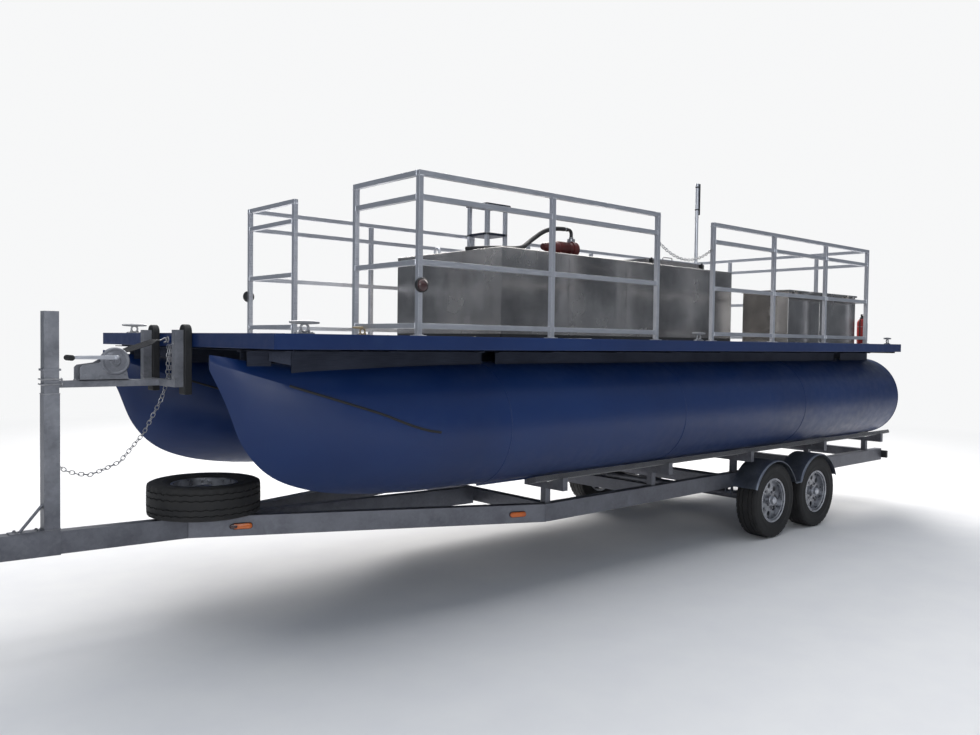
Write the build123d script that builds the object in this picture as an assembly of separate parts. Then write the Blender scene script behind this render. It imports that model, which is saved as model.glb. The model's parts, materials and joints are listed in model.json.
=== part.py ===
from build123d import *
import math
import os

# Work pontoon on its tandem trailer, in millimetres.
# X is measured forward from the deck's stern edge, Y to port, Z up from the ground.
# Every solid is moved along X at the end, so that the origin is under the middle.

# Seats and running clearances
SEAT = 0.3
FIT = 0.08

# Trailer wheels
TYRE_R = 340.0
TYRE_W = 205.0
TYRE_SHOULDER = 14.0
TREAD_EDGE = 22.0
BEAD_IN = 12.0
RIM_R = 190.0
RIM_W = 170.0
RIM_WALL = 6.0
RIM_LIP = 11.0
LIP_T = 10.0
DISC_OUT = 25.0
DISC_T = 10.0
WINDOWS = 8
WINDOW_R = 24.0
WINDOW_RING_R = 128.0
HUB_R = 42.0
HUB_HALF = 60.0
WHEEL_Y = 1030.0
AXLE_XS = (2205.0, 1420.0)
AXLE_R = 38.0
SPINDLE_R = 20.0
SPINDLE_OUT = 30.0
AXLE_Z = TYRE_R

# Trailer frame
FRAME_OVER_AXLE = 128.0
FRAME_H = 127.0
FRAME_W = 76.0
FRAME_OUT_Y = 900.0
REAR_X = -500.0
KINK_X = 4950.0
APEX_X = 7200.0
CROSS_XS = (4850.0, 3580.0, 2700.0, 925.0, -400.0)
CROSS_H = 95.0
CROSS_DROP = 12.0
TONGUE_PITCH = math.tan(math.radians(1.3))
TONGUE_W = 76.0
TONGUE_TIP_X = 8980.0
SLEEVE_X = 7925.0
SLEEVE_T = 4.0
FRAME_Z = AXLE_Z + FRAME_OVER_AXLE
FRAME_TOP = FRAME_Z + FRAME_H


def frame_top(x):
    """The height of the frame's top: level to the kink, then rising to the coupler."""
    return FRAME_TOP + max(0.0, x - KINK_X) * TONGUE_PITCH


# Coupler and jack
COUPLER_BODY = 150.0
COUPLER_REACH = 185.0
COUPLER_H = 62.0
COUPLER_R = 34.0
COUPLER_WALL = 14.0
BALL_R = 25.4
BALL_PLAY = 0.5
BALL_DEPTH = 42.0
LATCH_H = 30.0
LATCH_W = 20.0
JACK_BACK = 420.0
JACK_X = TONGUE_TIP_X - JACK_BACK
JACK_STANDOFF = 16.0
JACK_R = 28.0
JACK_TUBE_Z = 400.0
JACK_HEAD_UP = 330.0
JACK_CAP = 30.0
JACK_LEG_R = 22.0
JACK_LEG_UP = 20.0
JACK_FOOT_R = 80.0
JACK_FOOT_T = 8.0
JACK_CRANK = 150.0
JACK_ARM = 90.0
CRANK_R = 8.0
TIP_TOP = frame_top(TONGUE_TIP_X)
JACK_Y = TONGUE_W / 2 + SLEEVE_T + JACK_R + JACK_STANDOFF
JACK_HEAD = frame_top(JACK_X) + JACK_HEAD_UP

# Fenders, springs and lamps
FENDER_R = 366.0
FENDER_T = 5.0
FENDER_W = 250.0
FENDER_FOOT = 135.0
FENDER_LIP = 7.0
FENDER_LIP_W = 10.0
FENDER_STAY = 60.0
SPRING_HALF = 340.0
LEAF_W = 44.0
LEAF_T = 10.0
LEAF_UP = 20.0
SEAT_BLOCK = 60.0
HANGER_T = 20.0
MARKER_XS = (6900.0, 5150.0)
MARKER_L = 130.0
MARKER_H = 44.0
MARKER_T = 18.0
TAIL_T = 40.0
TAIL_W = 136.0
TAIL_H = 80.0
SPARE_X = 7080.0
CARRIER_W = 120.0
CARRIER_T = 16.0

# Pontoons and their bunks
TUBE_R = 405.0
TUBE_Y = 850.0
TUBE_OVER_FRAME = 203.0
TUBE_AFT_X = -60.0
NOSE_L = 1800.0
BAND_W = 45.0
BAND_T = 3.0
KEEL_W = 12.0
KEEL_H = 24.0
KEEL_END = 60.0
BUNK_XS = (4900.0, 3670.0, 2460.0, 1110.0, -170.0)
BUNK_POST = 50.0
BUNK_ANGLE = 16.0
BUNK_REACH = 75.0
BUNK_W = 89.0
BUNK_T = 38.0
BUNK_OVER = 260.0
SADDLE_DEEP = 55.0
TUBE_Z = FRAME_TOP + TUBE_OVER_FRAME + TUBE_R
TUBE_TOP = TUBE_Z + TUBE_R

# Deck
DECK_L = 7280.0
DECK_W = 2590.0
STEM_OUT = 140.0
RISER_H = 77.0
BEAM_H = 75.0
BEAM_W = 50.0
BEAM_WALL = 5.0
BEAM_END = 100.0
BEAM_PITCH = 600.0
FLOOR_T = 20.0
FASCIA_H = 81.0
FASCIA_T = 30.0
RISER_T = 6.0
RISER_FLANGE = 40.0
# Riser strips as start, end and distance from the pontoon's middle
RISER_RUNS = (
    (40.0, 660.0, 100.0),
    (800.0, 5500.0, 100.0),
    (5620.0, DECK_L - 280.0, 100.0),
    (DECK_L - 190.0, DECK_L - 50.0, 40.0),
)
BOW_EYE_OUT = 30.0
BOW_EYE_HALF = 24.0
BOW_EYE_TOP = 20.0
BOW_EYE_H = 40.0
STEM_X = DECK_L + STEM_OUT
NOSE_X = STEM_X - NOSE_L
BEAM_Z = TUBE_TOP + RISER_H
FLOOR_Z = BEAM_Z + BEAM_H
DECK_Z = FLOOR_Z + FLOOR_T
FASCIA_Z = DECK_Z - FASCIA_H

# Guard rails
RAIL_INSET = 181.0
RAIL_FRONT_BACK = 1017.0
RAIL_AFT_X = 392.0
RAIL_TUBE = 32.0
POST_TUBE = 38.0
RAIL_TOPS = (76.0, 452.0, 838.0, 978.0)
BOW_GATE_PORT_Y = 412.0
BOW_GATE_STARBOARD_Y = -393.0
SIDE_GATE_FRONT_X = 3965.0
SIDE_GATE_AFT_X = 3218.0
FRONT_POST_X = 5120.0
AFT_POST_XS = (2260.0, 1300.0)
STERN_POST_Y = 540.0
RAIL_OUT_Y = DECK_W / 2 - RAIL_INSET
RAIL_MID_Y = RAIL_OUT_Y - POST_TUBE / 2
RAIL_IN_Y = RAIL_OUT_Y - POST_TUBE
BOW_RAIL_X = DECK_L - RAIL_FRONT_BACK - POST_TUBE / 2
STERN_RAIL_X = RAIL_AFT_X + POST_TUBE / 2

# Tank, locker and hinges
TANK_X = (2220.0, 5160.0)
TANK_W = 1270.0
TANK_H = 650.0
TANK_WALL = 6.0
HATCH_X = (2430.0, 3270.0)
HATCH_Y = (-330.0, 450.0)
HATCH_COAMING = 30.0
HATCH_LID_T = 40.0
LOCKER_X = (455.0, 1820.0)
LOCKER_D = 480.0
LOCKER_H = 480.0
LOCKER_WALL = 6.0
LOCKER_GAP = 76.0
LOCKER_LEAF = 50.0
LID_T = 18.0
LID_OVER = 14.0
HINGE_R = 8.0
HINGE_L = 120.0
HINGE_GAP = 6.0
HINGE_INSET = 160.0
TANK_TOP = DECK_Z + TANK_H
LOCKER_TOP = DECK_Z + LOCKER_H
LOCKER_Y = (RAIL_IN_Y - LOCKER_GAP - LOCKER_D, RAIL_IN_Y - LOCKER_GAP)

# Deck gear
CONSOLE_X = (3800.0, 4060.0)
CONSOLE_D = 280.0
CONSOLE_GAP = 16.0
CONSOLE_H = 1255.0
CONSOLE_SHELF_H = 985.0
CONSOLE_SHELF_T = 24.0
CONSOLE_TOP_T = 20.0
CONSOLE_TOP_OVER = 20.0
CONSOLE_TUBE = 32.0
MAST_X = 2170.0
MAST_Y = 200.0
MAST_R = 16.0
MAST_H = 1550.0
MAST_FOOT = 45.0
MAST_FOOT_T = 8.0
LAMP_H = 300.0
LAMP_D = 20.0
LAMP_W = 24.0
SIDE_LAMP_R = 45.0
SIDE_LAMP_T = 40.0
SIDE_LAMP_H = 300.0
PUMP_X = 3990.0
PUMP_L = 430.0
PUMP_W = 200.0
PUMP_Y = 300.0
PUMP_BASE = 20.0
PUMP_AXIS = 92.0
CASING_R = 80.0
CASING_X = (30.0, 150.0)
MOTOR_R = 68.0
PORT_R = 22.0
FLANGE_R = 42.0
FLANGE_T = 16.0
ELBOW_REACH = 85.0
ELBOW_Z = 903.0
ROLLER_IN = 110.0
ROLLER_PLATE = 60.0
ROLLER_PLATE_T = 10.0
ROLLER_R = 32.0
ROLLER_W = 80.0
CLEAT_XS = (DECK_L - 200.0, 3600.0, 200.0)
CLEAT_IN = 60.0
CLEAT_L = 180.0
CLEAT_H = 48.0
CLEAT_R = 11.0
CLEAT_LEG = 32.0
CLEAT_FOOT_L = 110.0
CLEAT_FOOT_W = 36.0
CLEAT_FOOT_T = 8.0
CAN_X = 330.0
CAN_GAP = 56.0
CAN_R = 48.0
CAN_H = 270.0
CAN_NECK_R = 16.0
CAN_NECK = 45.0
MOTOR_PLATE_W = 620.0
MOTOR_DROP = 370.0
MOTOR_X = 60.0
MOTOR_T = 40.0
MOTOR_ARM = 700.0
MOTOR_ARM_H = 120.0

# Winch stand
WINCH_POST_X = 7966.0
WINCH_POST_W = 76.0
WINCH_POST_H = 1222.0
POST_SLEEVE_H = 768.0
POST_SLEEVE_T = 3.0
POST_FOOT = 90.0
POST_FOOT_T = 10.0
BAND_UP = 892.0
BAND_H = 12.0
BAND_OUT = 8.0
BRACE_R = 8.0
BRACE_UP = 150.0
BRACE_OUT = 120.0
WINCH_ARM_UP = 839.0
WINCH_ARM_W = 60.0
WINCH_ARM_T = 38.0
WINCH_X = 7634.0
DRUM_UP = 109.0
DRUM_R = 40.0
DRUM_HALF = 52.0
GEAR_R = 80.0
GEAR_T = 12.0
CHEEK_T = 6.0
CHEEK_HALF = 60.0
CHEEK_UP = 50.0
WINCH_BASE = 80.0
WINCH_BASE_T = 8.0
SHAFT_X = 35.0
SHAFT_UP = 25.0
SHAFT_R = 9.0
HANDLE_Y = 190.0
HANDLE_L = 265.0
HANDLE_R = 8.0
GRIP_L = 110.0
GRIP_R = 16.0
STRAP_W = 50.0
STRAP_T = 4.0
HOOK_AHEAD = 65.0
HOOK_X = DECK_L + HOOK_AHEAD
HOOK_DOWN = 45.0
HOOK_R = 8.0
STOP_D = 50.0
STOP_AHEAD = 95.0
STOP_X = DECK_L + STOP_AHEAD
STOP_Y = 250.0
STOP_TOP = 1797.0
PAD_W = 90.0
PAD_Z = 1420.0
PAD_TOP = 1830.0
POST_SEAT_Z = frame_top(WINCH_POST_X) + SLEEVE_T
ARM_Z = frame_top(WINCH_POST_X) + WINCH_ARM_UP

# Hose from the pump to the tank's front edge, as x, y and height over the deck
HOSE_R = 18.0
HOSE_LAID = TANK_H + SEAT + HOSE_R
HOSE_ROUTE = (
    (PUMP_X + 90.0 + ELBOW_REACH + SEAT, PUMP_Y, ELBOW_Z),
    (4340.0, PUMP_Y, ELBOW_Z),
    (4650.0, 385.0, 750.0),
    (4850.0, 510.0, HOSE_LAID),
    (5055.0, 445.0, HOSE_LAID),
    (5138.0, 210.0, HOSE_LAID),
)

# Chains: inner length, inner half width and bar of a link
LINK_SPAN = 26.0
LINK_HALF = 8.0
LINK_BAR = 5.0
LINK_BITE = 0.8
GATE_CHAIN_UP = 758.0
GATE_CHAIN_SAG = 108.0
CHAIN_BESIDE = 14.5
EYE_FOOT = DECK_Z - BOW_EYE_TOP - BOW_EYE_H
SAFETY_ROUTE = (
    (DECK_L + 19.0, EYE_FOOT - LINK_BAR - 1.0),
    (DECK_L + 29.0, 1483.0),
    (DECK_L + 64.0, 1378.0),
    (7450.0, 1177.0),
    (7586.0, 1019.0),
    (7672.0, 983.0),
    (7752.0, 957.0),
    (7823.0, 969.0),
    (7883.0, 992.0),
    (WINCH_POST_X - WINCH_POST_W / 2 - POST_SLEEVE_T - LINK_BAR - SEAT, 1027.0),
)
SPARE_STRAND = 9


def block(x0, x1, y0, y1, z0, z1):
    """A box given by its faces."""
    return Pos((x0 + x1) / 2, (y0 + y1) / 2, (z0 + z1) / 2) * Box(x1 - x0, y1 - y0, z1 - z0)


def rod_x(x0, x1, y, z, radius):
    """A round bar along X."""
    return Pos((x0 + x1) / 2, y, z) * Rot(0, 90, 0) * Cylinder(radius, x1 - x0)


def rod_y(x, y0, y1, z, radius):
    """A round bar along Y."""
    return Pos(x, (y0 + y1) / 2, z) * Rot(90, 0, 0) * Cylinder(radius, y1 - y0)


def rod_z(x, y, z0, z1, radius):
    """A round bar along Z."""
    return Pos(x, y, (z0 + z1) / 2) * Cylinder(radius, z1 - z0)


def plan(points, z0, height):
    """An upright prism over a plan outline."""
    face = Plane.XY.offset(z0) * make_face(Polyline(*points, close=True))
    return extrude(face, amount=height)


def mirrored(solid):
    """The same piece on the starboard side."""
    return mirror(solid, about=Plane.XZ)


def both_sides(solids):
    """Each piece and its twin on the starboard side."""
    return [piece for solid in solids for piece in (solid, mirrored(solid))]


# Pontoons

# Nose stations, each as shares of the nose's length behind the stem and of the tube's radius:
# back, top, crease height, half width, bottom; then how full the upper and lower plates are
NOSE_STATIONS = (
    (1.000, 1.000, 0.000, 1.000, -1.000, 0.207, 0.207),
    (0.694, 1.000, 0.000, 0.906, -0.998, 0.200, 0.190),
    (0.478, 1.000, 0.316, 0.726, -0.926, 0.150, 0.170),
    (0.311, 1.000, 0.560, 0.526, -0.778, 0.120, 0.140),
    (0.189, 1.005, 0.738, 0.341, -0.531, 0.090, 0.110),
    (0.106, 1.037, 0.859, 0.195, -0.123, 0.060, 0.080),
    (0.050, 1.077, 0.941, 0.094, 0.469, 0.040, 0.050),
    (0.000, 1.111, 1.012, 0.020, 0.914, 0.030, 0.030),
)


def bulged(a, b, share):
    """An arc from a to b whose rise is a share of its chord, on the outer side."""
    mid = (a + b) / 2
    along = b - a
    side = Vector(0, along.Z, -along.Y)
    return ThreePointArc(a, mid + side * share, b)


def nose_section(station):
    """The closed outline of the nose at one station."""
    back, top, crease, half, bottom, upper, lower = station
    x = STEM_X - back * NOSE_L
    crown = Vector(x, TUBE_Y, TUBE_Z + top * TUBE_R)
    port = Vector(x, TUBE_Y + half * TUBE_R, TUBE_Z + crease * TUBE_R)
    foot = Vector(x, TUBE_Y, TUBE_Z + bottom * TUBE_R)
    starboard = Vector(x, TUBE_Y - half * TUBE_R, TUBE_Z + crease * TUBE_R)
    edges = [
        bulged(port, crown, upper),
        bulged(crown, starboard, upper),
        bulged(starboard, foot, lower),
        bulged(foot, port, lower),
    ]
    return Wire(edges)


def nose():
    """The two-plate nose, lofted through its stations."""
    return Solid.make_loft([nose_section(station) for station in NOSE_STATIONS], ruled=True)


def pontoon():
    """One pontoon: plain tube, two-plate nose, weld band and keel strip."""
    tube = rod_x(TUBE_AFT_X, NOSE_X, TUBE_Y, TUBE_Z, TUBE_R)
    band = rod_x(NOSE_X - BAND_W, NOSE_X, TUBE_Y, TUBE_Z, TUBE_R + BAND_T)
    foot = TUBE_Z - TUBE_R
    half = KEEL_W / 2
    keel = block(TUBE_AFT_X + KEEL_END, NOSE_X - KEEL_END, TUBE_Y - half, TUBE_Y + half, foot - KEEL_H, foot + KEEL_W)
    return tube + nose() + band + keel


def riser_strip(x0, x1, out, side, hull):
    """One angle strip, cut to the hull under it."""
    y = TUBE_Y + side * out
    edge = y + side * RISER_FLANGE
    strip = block(x0, x1, y - RISER_T / 2, y + RISER_T / 2, TUBE_Z, BEAM_Z)
    strip += block(x0, x1, min(y, edge), max(y, edge), BEAM_Z - RISER_T, BEAM_Z)
    return max((strip - hull).solids(), key=lambda solid: solid.bounding_box().max.Z)


def risers():
    """Two angle strips on each pontoon that carry the cross beams."""
    hull = rod_x(TUBE_AFT_X, NOSE_X, TUBE_Y, TUBE_Z, TUBE_R + SEAT) + Pos(0, 0, SEAT) * nose()
    return both_sides([riser_strip(*run, side, hull) for run in RISER_RUNS for side in (-1, 1)])


# Deck


def deck_beam(x):
    """A channel beam across the deck, open forward."""
    half = DECK_W / 2 - FASCIA_T - SEAT
    aft = x - BEAM_W / 2
    outer = block(aft, aft + BEAM_W, -half, half, BEAM_Z, FLOOR_Z)
    wall = BEAM_WALL
    return outer - block(aft + wall, aft + 2 * BEAM_W, -DECK_W, DECK_W, BEAM_Z + wall, FLOOR_Z - wall)


def deck_beams():
    """Channel beams, evenly spaced from stern to bow."""
    span = DECK_L - 2 * BEAM_END
    gaps = int(span / BEAM_PITCH)
    return [deck_beam(BEAM_END + i * span / gaps) for i in range(gaps + 1)]


def deck_floor():
    """The deck plate inside its edge."""
    edge = FASCIA_T + SEAT
    return block(edge, DECK_L - edge, -DECK_W / 2 + edge, DECK_W / 2 - edge, FLOOR_Z, DECK_Z)


def deck_fascia():
    """The painted edge round the deck, with the bow eye welded on."""
    half = DECK_W / 2
    outer = block(0, DECK_L, -half, half, FASCIA_Z, DECK_Z)
    edge = FASCIA_T
    inner = block(edge, DECK_L - edge, -half + edge, half - edge, FASCIA_Z - 1, DECK_Z + 1)
    eye = block(DECK_L, DECK_L + BOW_EYE_OUT, -BOW_EYE_HALF, BOW_EYE_HALF, EYE_FOOT, EYE_FOOT + BOW_EYE_H)
    return outer - inner + eye


# Guard rails


def side_rail(post_xs, x0, x1):
    """A welded rail panel along the deck edge, on the port side."""
    panel = Part()
    half = POST_TUBE / 2
    bar = RAIL_TUBE / 2
    for x in post_xs:
        panel += block(x - half, x + half, RAIL_IN_Y, RAIL_OUT_Y, DECK_Z, DECK_Z + RAIL_TOPS[-1])
    for top in RAIL_TOPS:
        panel += block(x0, x1, RAIL_MID_Y - bar, RAIL_MID_Y + bar, DECK_Z + top - RAIL_TUBE, DECK_Z + top)
    return panel


def cross_rail(x, post_ys, y0, y1):
    """A welded rail panel across the deck."""
    panel = Part()
    half = POST_TUBE / 2
    bar = RAIL_TUBE / 2
    for y in post_ys:
        panel += block(x - half, x + half, y - half, y + half, DECK_Z, DECK_Z + RAIL_TOPS[-1])
    for top in RAIL_TOPS:
        panel += block(x - bar, x + bar, y0, y1, DECK_Z + top - RAIL_TUBE, DECK_Z + top)
    return panel


def rails():
    """The seven rail panels, with gates left open at the bow and on both sides."""
    front = side_rail((BOW_RAIL_X, FRONT_POST_X, SIDE_GATE_FRONT_X), SIDE_GATE_FRONT_X, BOW_RAIL_X)
    aft = side_rail((SIDE_GATE_AFT_X, *AFT_POST_XS, STERN_RAIL_X), STERN_RAIL_X, SIDE_GATE_AFT_X)
    bow_port = cross_rail(BOW_RAIL_X, (BOW_GATE_PORT_Y,), BOW_GATE_PORT_Y, RAIL_IN_Y)
    bow_starboard = cross_rail(BOW_RAIL_X, (BOW_GATE_STARBOARD_Y,), -RAIL_IN_Y, BOW_GATE_STARBOARD_Y)
    return {
        "rail_port_front": front,
        "rail_starboard_front": mirrored(front),
        "rail_port_aft": aft,
        "rail_starboard_aft": mirrored(aft),
        "rail_bow_port": bow_port,
        "rail_bow_starboard": bow_starboard,
        "rail_stern": cross_rail(STERN_RAIL_X, (-STERN_POST_Y, STERN_POST_Y), -RAIL_IN_Y, RAIL_IN_Y),
    }


# Tank, locker and their hinged lids


def hinge_axis(y_edge, side, z0):
    """The line a lid turns about, outside its edge and a barrel's radius above its underside."""
    return y_edge + side * (LID_OVER + HINGE_GAP + HINGE_R), z0 + HINGE_R


def hinge_middles(x_range):
    """Where the two hinges of a lid sit along X."""
    x0, x1 = x_range
    return x0 + HINGE_INSET, x1 - HINGE_INSET


def fixed_knuckles(x_range, y_edge, side, z0, foot_z):
    """The outer barrels of two hinges, each on a leaf that runs down to its foot."""
    y, z = hinge_axis(y_edge, side, z0)
    made = Part()
    for middle in hinge_middles(x_range):
        for step in (-1, 1):
            ends = sorted((middle + step * HINGE_L / 6, middle + step * HINGE_L / 2))
            made += rod_x(*ends, y, z, HINGE_R)
            made += block(*ends, y - HINGE_R, y + HINGE_R, foot_z, z)
            made += block(*ends, min(y, y_edge), max(y, y_edge), foot_z, foot_z + HINGE_R)
    return made


def hinged_lid(x_range, y_range, z0, thickness, side):
    """A flat lid with a middle barrel at each of its two hinges."""
    x0, x1 = x_range
    y0, y1 = y_range
    lid = block(x0 - LID_OVER, x1 + LID_OVER, y0 - LID_OVER, y1 + LID_OVER, z0, z0 + thickness)
    edge = y1 if side > 0 else y0
    y, z = hinge_axis(edge, side, z0)
    half = HINGE_L / 6 - SEAT
    for x in hinge_middles(x_range):
        lid += rod_x(x - half, x + half, y, z, HINGE_R)
        lid += block(x - half, x + half, min(y, edge), max(y, edge), z0, z0 + 2 * HINGE_R)
    return lid


def water_tank():
    """The sheet tank with its hatch opening, coaming and hinge leaves."""
    x0, x1 = TANK_X
    half = TANK_W / 2
    wall = TANK_WALL
    rim = TANK_TOP + HATCH_COAMING
    shell = block(x0, x1, -half, half, DECK_Z, TANK_TOP)
    shell -= block(x0 + wall, x1 - wall, wall - half, half - wall, DECK_Z + wall, TANK_TOP - wall)
    hx0, hx1 = HATCH_X
    hy0, hy1 = HATCH_Y
    shell += block(hx0, hx1, hy0, hy1, TANK_TOP, rim)
    shell -= block(hx0 + wall, hx1 - wall, hy0 + wall, hy1 - wall, TANK_TOP - 2 * wall, rim + 1)
    return shell + fixed_knuckles(HATCH_X, hy0, -1, rim + SEAT, TANK_TOP)


def tank_hatch():
    """The tank's lid."""
    return hinged_lid(HATCH_X, HATCH_Y, TANK_TOP + HATCH_COAMING + SEAT, HATCH_LID_T, -1)


def aft_locker():
    """The open box aft, with its hinge leaves."""
    x0, x1 = LOCKER_X
    y0, y1 = LOCKER_Y
    wall = LOCKER_WALL
    shell = block(x0, x1, y0, y1, DECK_Z, LOCKER_TOP)
    shell -= block(x0 + wall, x1 - wall, y0 + wall, y1 - wall, DECK_Z + wall, LOCKER_TOP + 1)
    return shell + fixed_knuckles(LOCKER_X, y1, 1, LOCKER_TOP + SEAT, LOCKER_TOP - LOCKER_LEAF)


def locker_lid():
    """The locker's lid."""
    return hinged_lid(LOCKER_X, LOCKER_Y, LOCKER_TOP + SEAT, LID_T, 1)


# Deck gear


def console_frame():
    """An open frame of square tube with a shelf and a top plate."""
    x0, x1 = CONSOLE_X
    y0 = -RAIL_IN_Y + CONSOLE_GAP
    y1 = y0 + CONSOLE_D
    tube = CONSOLE_TUBE
    top = DECK_Z + CONSOLE_H
    shelf = DECK_Z + CONSOLE_SHELF_H
    frame = Part()
    for x in (x0, x1 - tube):
        for y in (y0, y1 - tube):
            frame += block(x, x + tube, y, y + tube, DECK_Z, top - CONSOLE_TOP_T / 2)
    frame += block(x0, x1, y0, y1, shelf - CONSOLE_SHELF_T, shelf)
    over = CONSOLE_TOP_OVER
    return frame + block(x0 - over, x1 + over, y0, y1 + over, top - CONSOLE_TOP_T, top)


def light_mast():
    """A round mast on a foot plate, with a lamp strip on its aft side."""
    top = DECK_Z + MAST_H
    foot = MAST_FOOT
    mast = rod_z(MAST_X, MAST_Y, DECK_Z, top, MAST_R)
    mast += block(MAST_X - foot, MAST_X + foot, MAST_Y - foot, MAST_Y + foot, DECK_Z, DECK_Z + MAST_FOOT_T)
    lamp_x = MAST_X - MAST_R - LAMP_D
    half = LAMP_W / 2
    return mast + block(lamp_x, MAST_X, MAST_Y - half, MAST_Y + half, top - LAMP_H, top)


def side_lights():
    """Round lamps on the outer faces of the bow corner posts."""
    face = RAIL_OUT_Y + SEAT
    return both_sides([rod_y(BOW_RAIL_X, face, face + SIDE_LAMP_T, DECK_Z + SIDE_LAMP_H, SIDE_LAMP_R)])


def pump():
    """The deck pump: base, motor, casing, outlet and its elbow."""
    axis = TANK_TOP + PUMP_AXIS
    port_x = PUMP_X + (CASING_X[0] + CASING_X[1]) / 2
    outlet = DECK_Z + ELBOW_Z
    half = PUMP_W / 2
    flange = axis + CASING_R
    made = block(PUMP_X, PUMP_X + PUMP_L, PUMP_Y - half, PUMP_Y + half, TANK_TOP, TANK_TOP + PUMP_BASE)
    made += rod_x(PUMP_X + CASING_X[1], PUMP_X + PUMP_L, PUMP_Y, axis, MOTOR_R)
    made += rod_x(PUMP_X + CASING_X[0], PUMP_X + CASING_X[1], PUMP_Y, axis, CASING_R)
    made += block(PUMP_X + CASING_X[0], PUMP_X + PUMP_L, PUMP_Y - half / 2, PUMP_Y + half / 2, TANK_TOP, axis)
    made += rod_z(port_x, PUMP_Y, axis, outlet, PORT_R)
    made += rod_z(port_x, PUMP_Y, flange, flange + FLANGE_T, FLANGE_R)
    made += Pos(port_x, PUMP_Y, outlet) * Sphere(PORT_R)
    return made + rod_x(port_x, port_x + ELBOW_REACH, PUMP_Y, outlet, PORT_R)


def corner_radii(points):
    """The largest fillet that the two runs at each corner of a route allow."""
    radii = []
    for before, here, after in zip(points, points[1:], points[2:]):
        turn = math.radians((here - before).get_angle(after - here))
        shorter = min((here - before).length, (after - here).length)
        radii.append(0.45 * shorter / math.tan(turn / 2))
    return radii


def pump_hose():
    """The hose from the pump's elbow down to the tank's top."""
    points = [Vector(x, y, DECK_Z + z) for x, y, z in HOSE_ROUTE]
    radii = corner_radii(points)
    print("pump_hose radii", [round(radius) for radius in radii])
    line = FilletPolyline(*points, radius=radii)
    return sweep(Plane(origin=line @ 0, z_dir=line % 0) * Circle(HOSE_R), path=line)


def bow_roller():
    """The roller on its plate inside the bow rail."""
    y = BOW_GATE_PORT_Y + ROLLER_IN
    size = ROLLER_PLATE
    half = ROLLER_W / 2
    plate = block(BOW_RAIL_X - size, BOW_RAIL_X + size, y - size, y + size, DECK_Z, DECK_Z + ROLLER_PLATE_T)
    return plate + rod_y(BOW_RAIL_X + size, y - half, y + half, DECK_Z + ROLLER_PLATE_T + ROLLER_R, ROLLER_R)


def cleat(x):
    """A mooring cleat on the port deck edge."""
    y = DECK_W / 2 - CLEAT_IN
    bar = DECK_Z + CLEAT_H
    length = CLEAT_FOOT_L / 2
    width = CLEAT_FOOT_W / 2
    made = rod_x(x - CLEAT_L / 2, x + CLEAT_L / 2, y, bar, CLEAT_R)
    for offset in (-CLEAT_LEG, CLEAT_LEG):
        made += rod_z(x + offset, y, DECK_Z, bar, CLEAT_R)
    return made + block(x - length, x + length, y - width, y + width, DECK_Z, DECK_Z + CLEAT_FOOT_T)


def fire_extinguisher():
    """The bottle at the aft corner, with its neck."""
    y = RAIL_IN_Y - CAN_GAP
    neck = rod_z(CAN_X, y, DECK_Z + CAN_H, DECK_Z + CAN_H + CAN_NECK, CAN_NECK_R)
    return rod_z(CAN_X, y, DECK_Z, DECK_Z + CAN_H, CAN_R) + neck


def motor_transom():
    """The plate between the pontoons that takes an outboard motor, on two arms."""
    half = MOTOR_PLATE_W / 2
    made = block(MOTOR_X - MOTOR_T, MOTOR_X, -half, half, BEAM_Z - MOTOR_DROP, BEAM_Z)
    for y in (-half, half - MOTOR_T):
        made += block(MOTOR_X - MOTOR_T, MOTOR_X + MOTOR_ARM, y, y + MOTOR_T, BEAM_Z - MOTOR_ARM_H, BEAM_Z)
    return made


# Trailer frame


def frame_profile(lift, x0=REAR_X, half=FRAME_OUT_Y, grow=0.0):
    """The frame's side view as a wide prism: level to the kink, then rising to the coupler."""
    x1 = TONGUE_TIP_X
    bend = max(x0, KINK_X)
    low = FRAME_Z - FRAME_TOP - grow + lift
    high = grow + lift
    outline = [(x0, low), (bend, low), (x1, low), (x1, high), (bend, high), (x0, high)]
    corners = [(x, -half, frame_top(x) + z) for x, z in outline]
    if bend == x0:
        corners = [corners[0], corners[2], corners[3], corners[5]]
    return extrude(make_face(Polyline(*corners, close=True)), amount=2 * half, dir=(0, 1, 0))


def frame_side():
    """The port side beam, straight aft and angled in to the tongue ahead of the kink."""
    angle = math.atan2(FRAME_OUT_Y - TONGUE_W / 2, APEX_X - KINK_X)
    inner_y = FRAME_OUT_Y - FRAME_W
    outline = [
        (REAR_X, inner_y),
        (REAR_X, FRAME_OUT_Y),
        (KINK_X, FRAME_OUT_Y),
        (APEX_X, TONGUE_W / 2),
        (APEX_X - FRAME_W / math.sin(angle), TONGUE_W / 2),
        (KINK_X - FRAME_W * math.tan(angle / 2), inner_y),
    ]
    return plan(outline, 0, TUBE_Z) & frame_profile(0)


def tongue():
    """The centre beam, sleeved ahead of the winch post."""
    start = CROSS_XS[0] + FRAME_W / 2
    half = TONGUE_W / 2
    beam = block(start, TONGUE_TIP_X, -half, half, 0, TUBE_Z) & frame_profile(0)
    return beam + frame_profile(0, SLEEVE_X, half + SLEEVE_T, SLEEVE_T)


def cross_members():
    """Beams between the two side beams."""
    half = FRAME_OUT_Y - FRAME_W
    top = FRAME_TOP - CROSS_DROP
    return [block(x - FRAME_W / 2, x + FRAME_W / 2, -half, half, top - CROSS_H, top) for x in CROSS_XS]


def seated(solid):
    """A piece on the tongue, cut to follow its slope with a seat's clearance."""
    return solid - frame_profile(SEAT) - frame_profile(SEAT, SLEEVE_X, FRAME_OUT_Y, SLEEVE_T)


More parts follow.
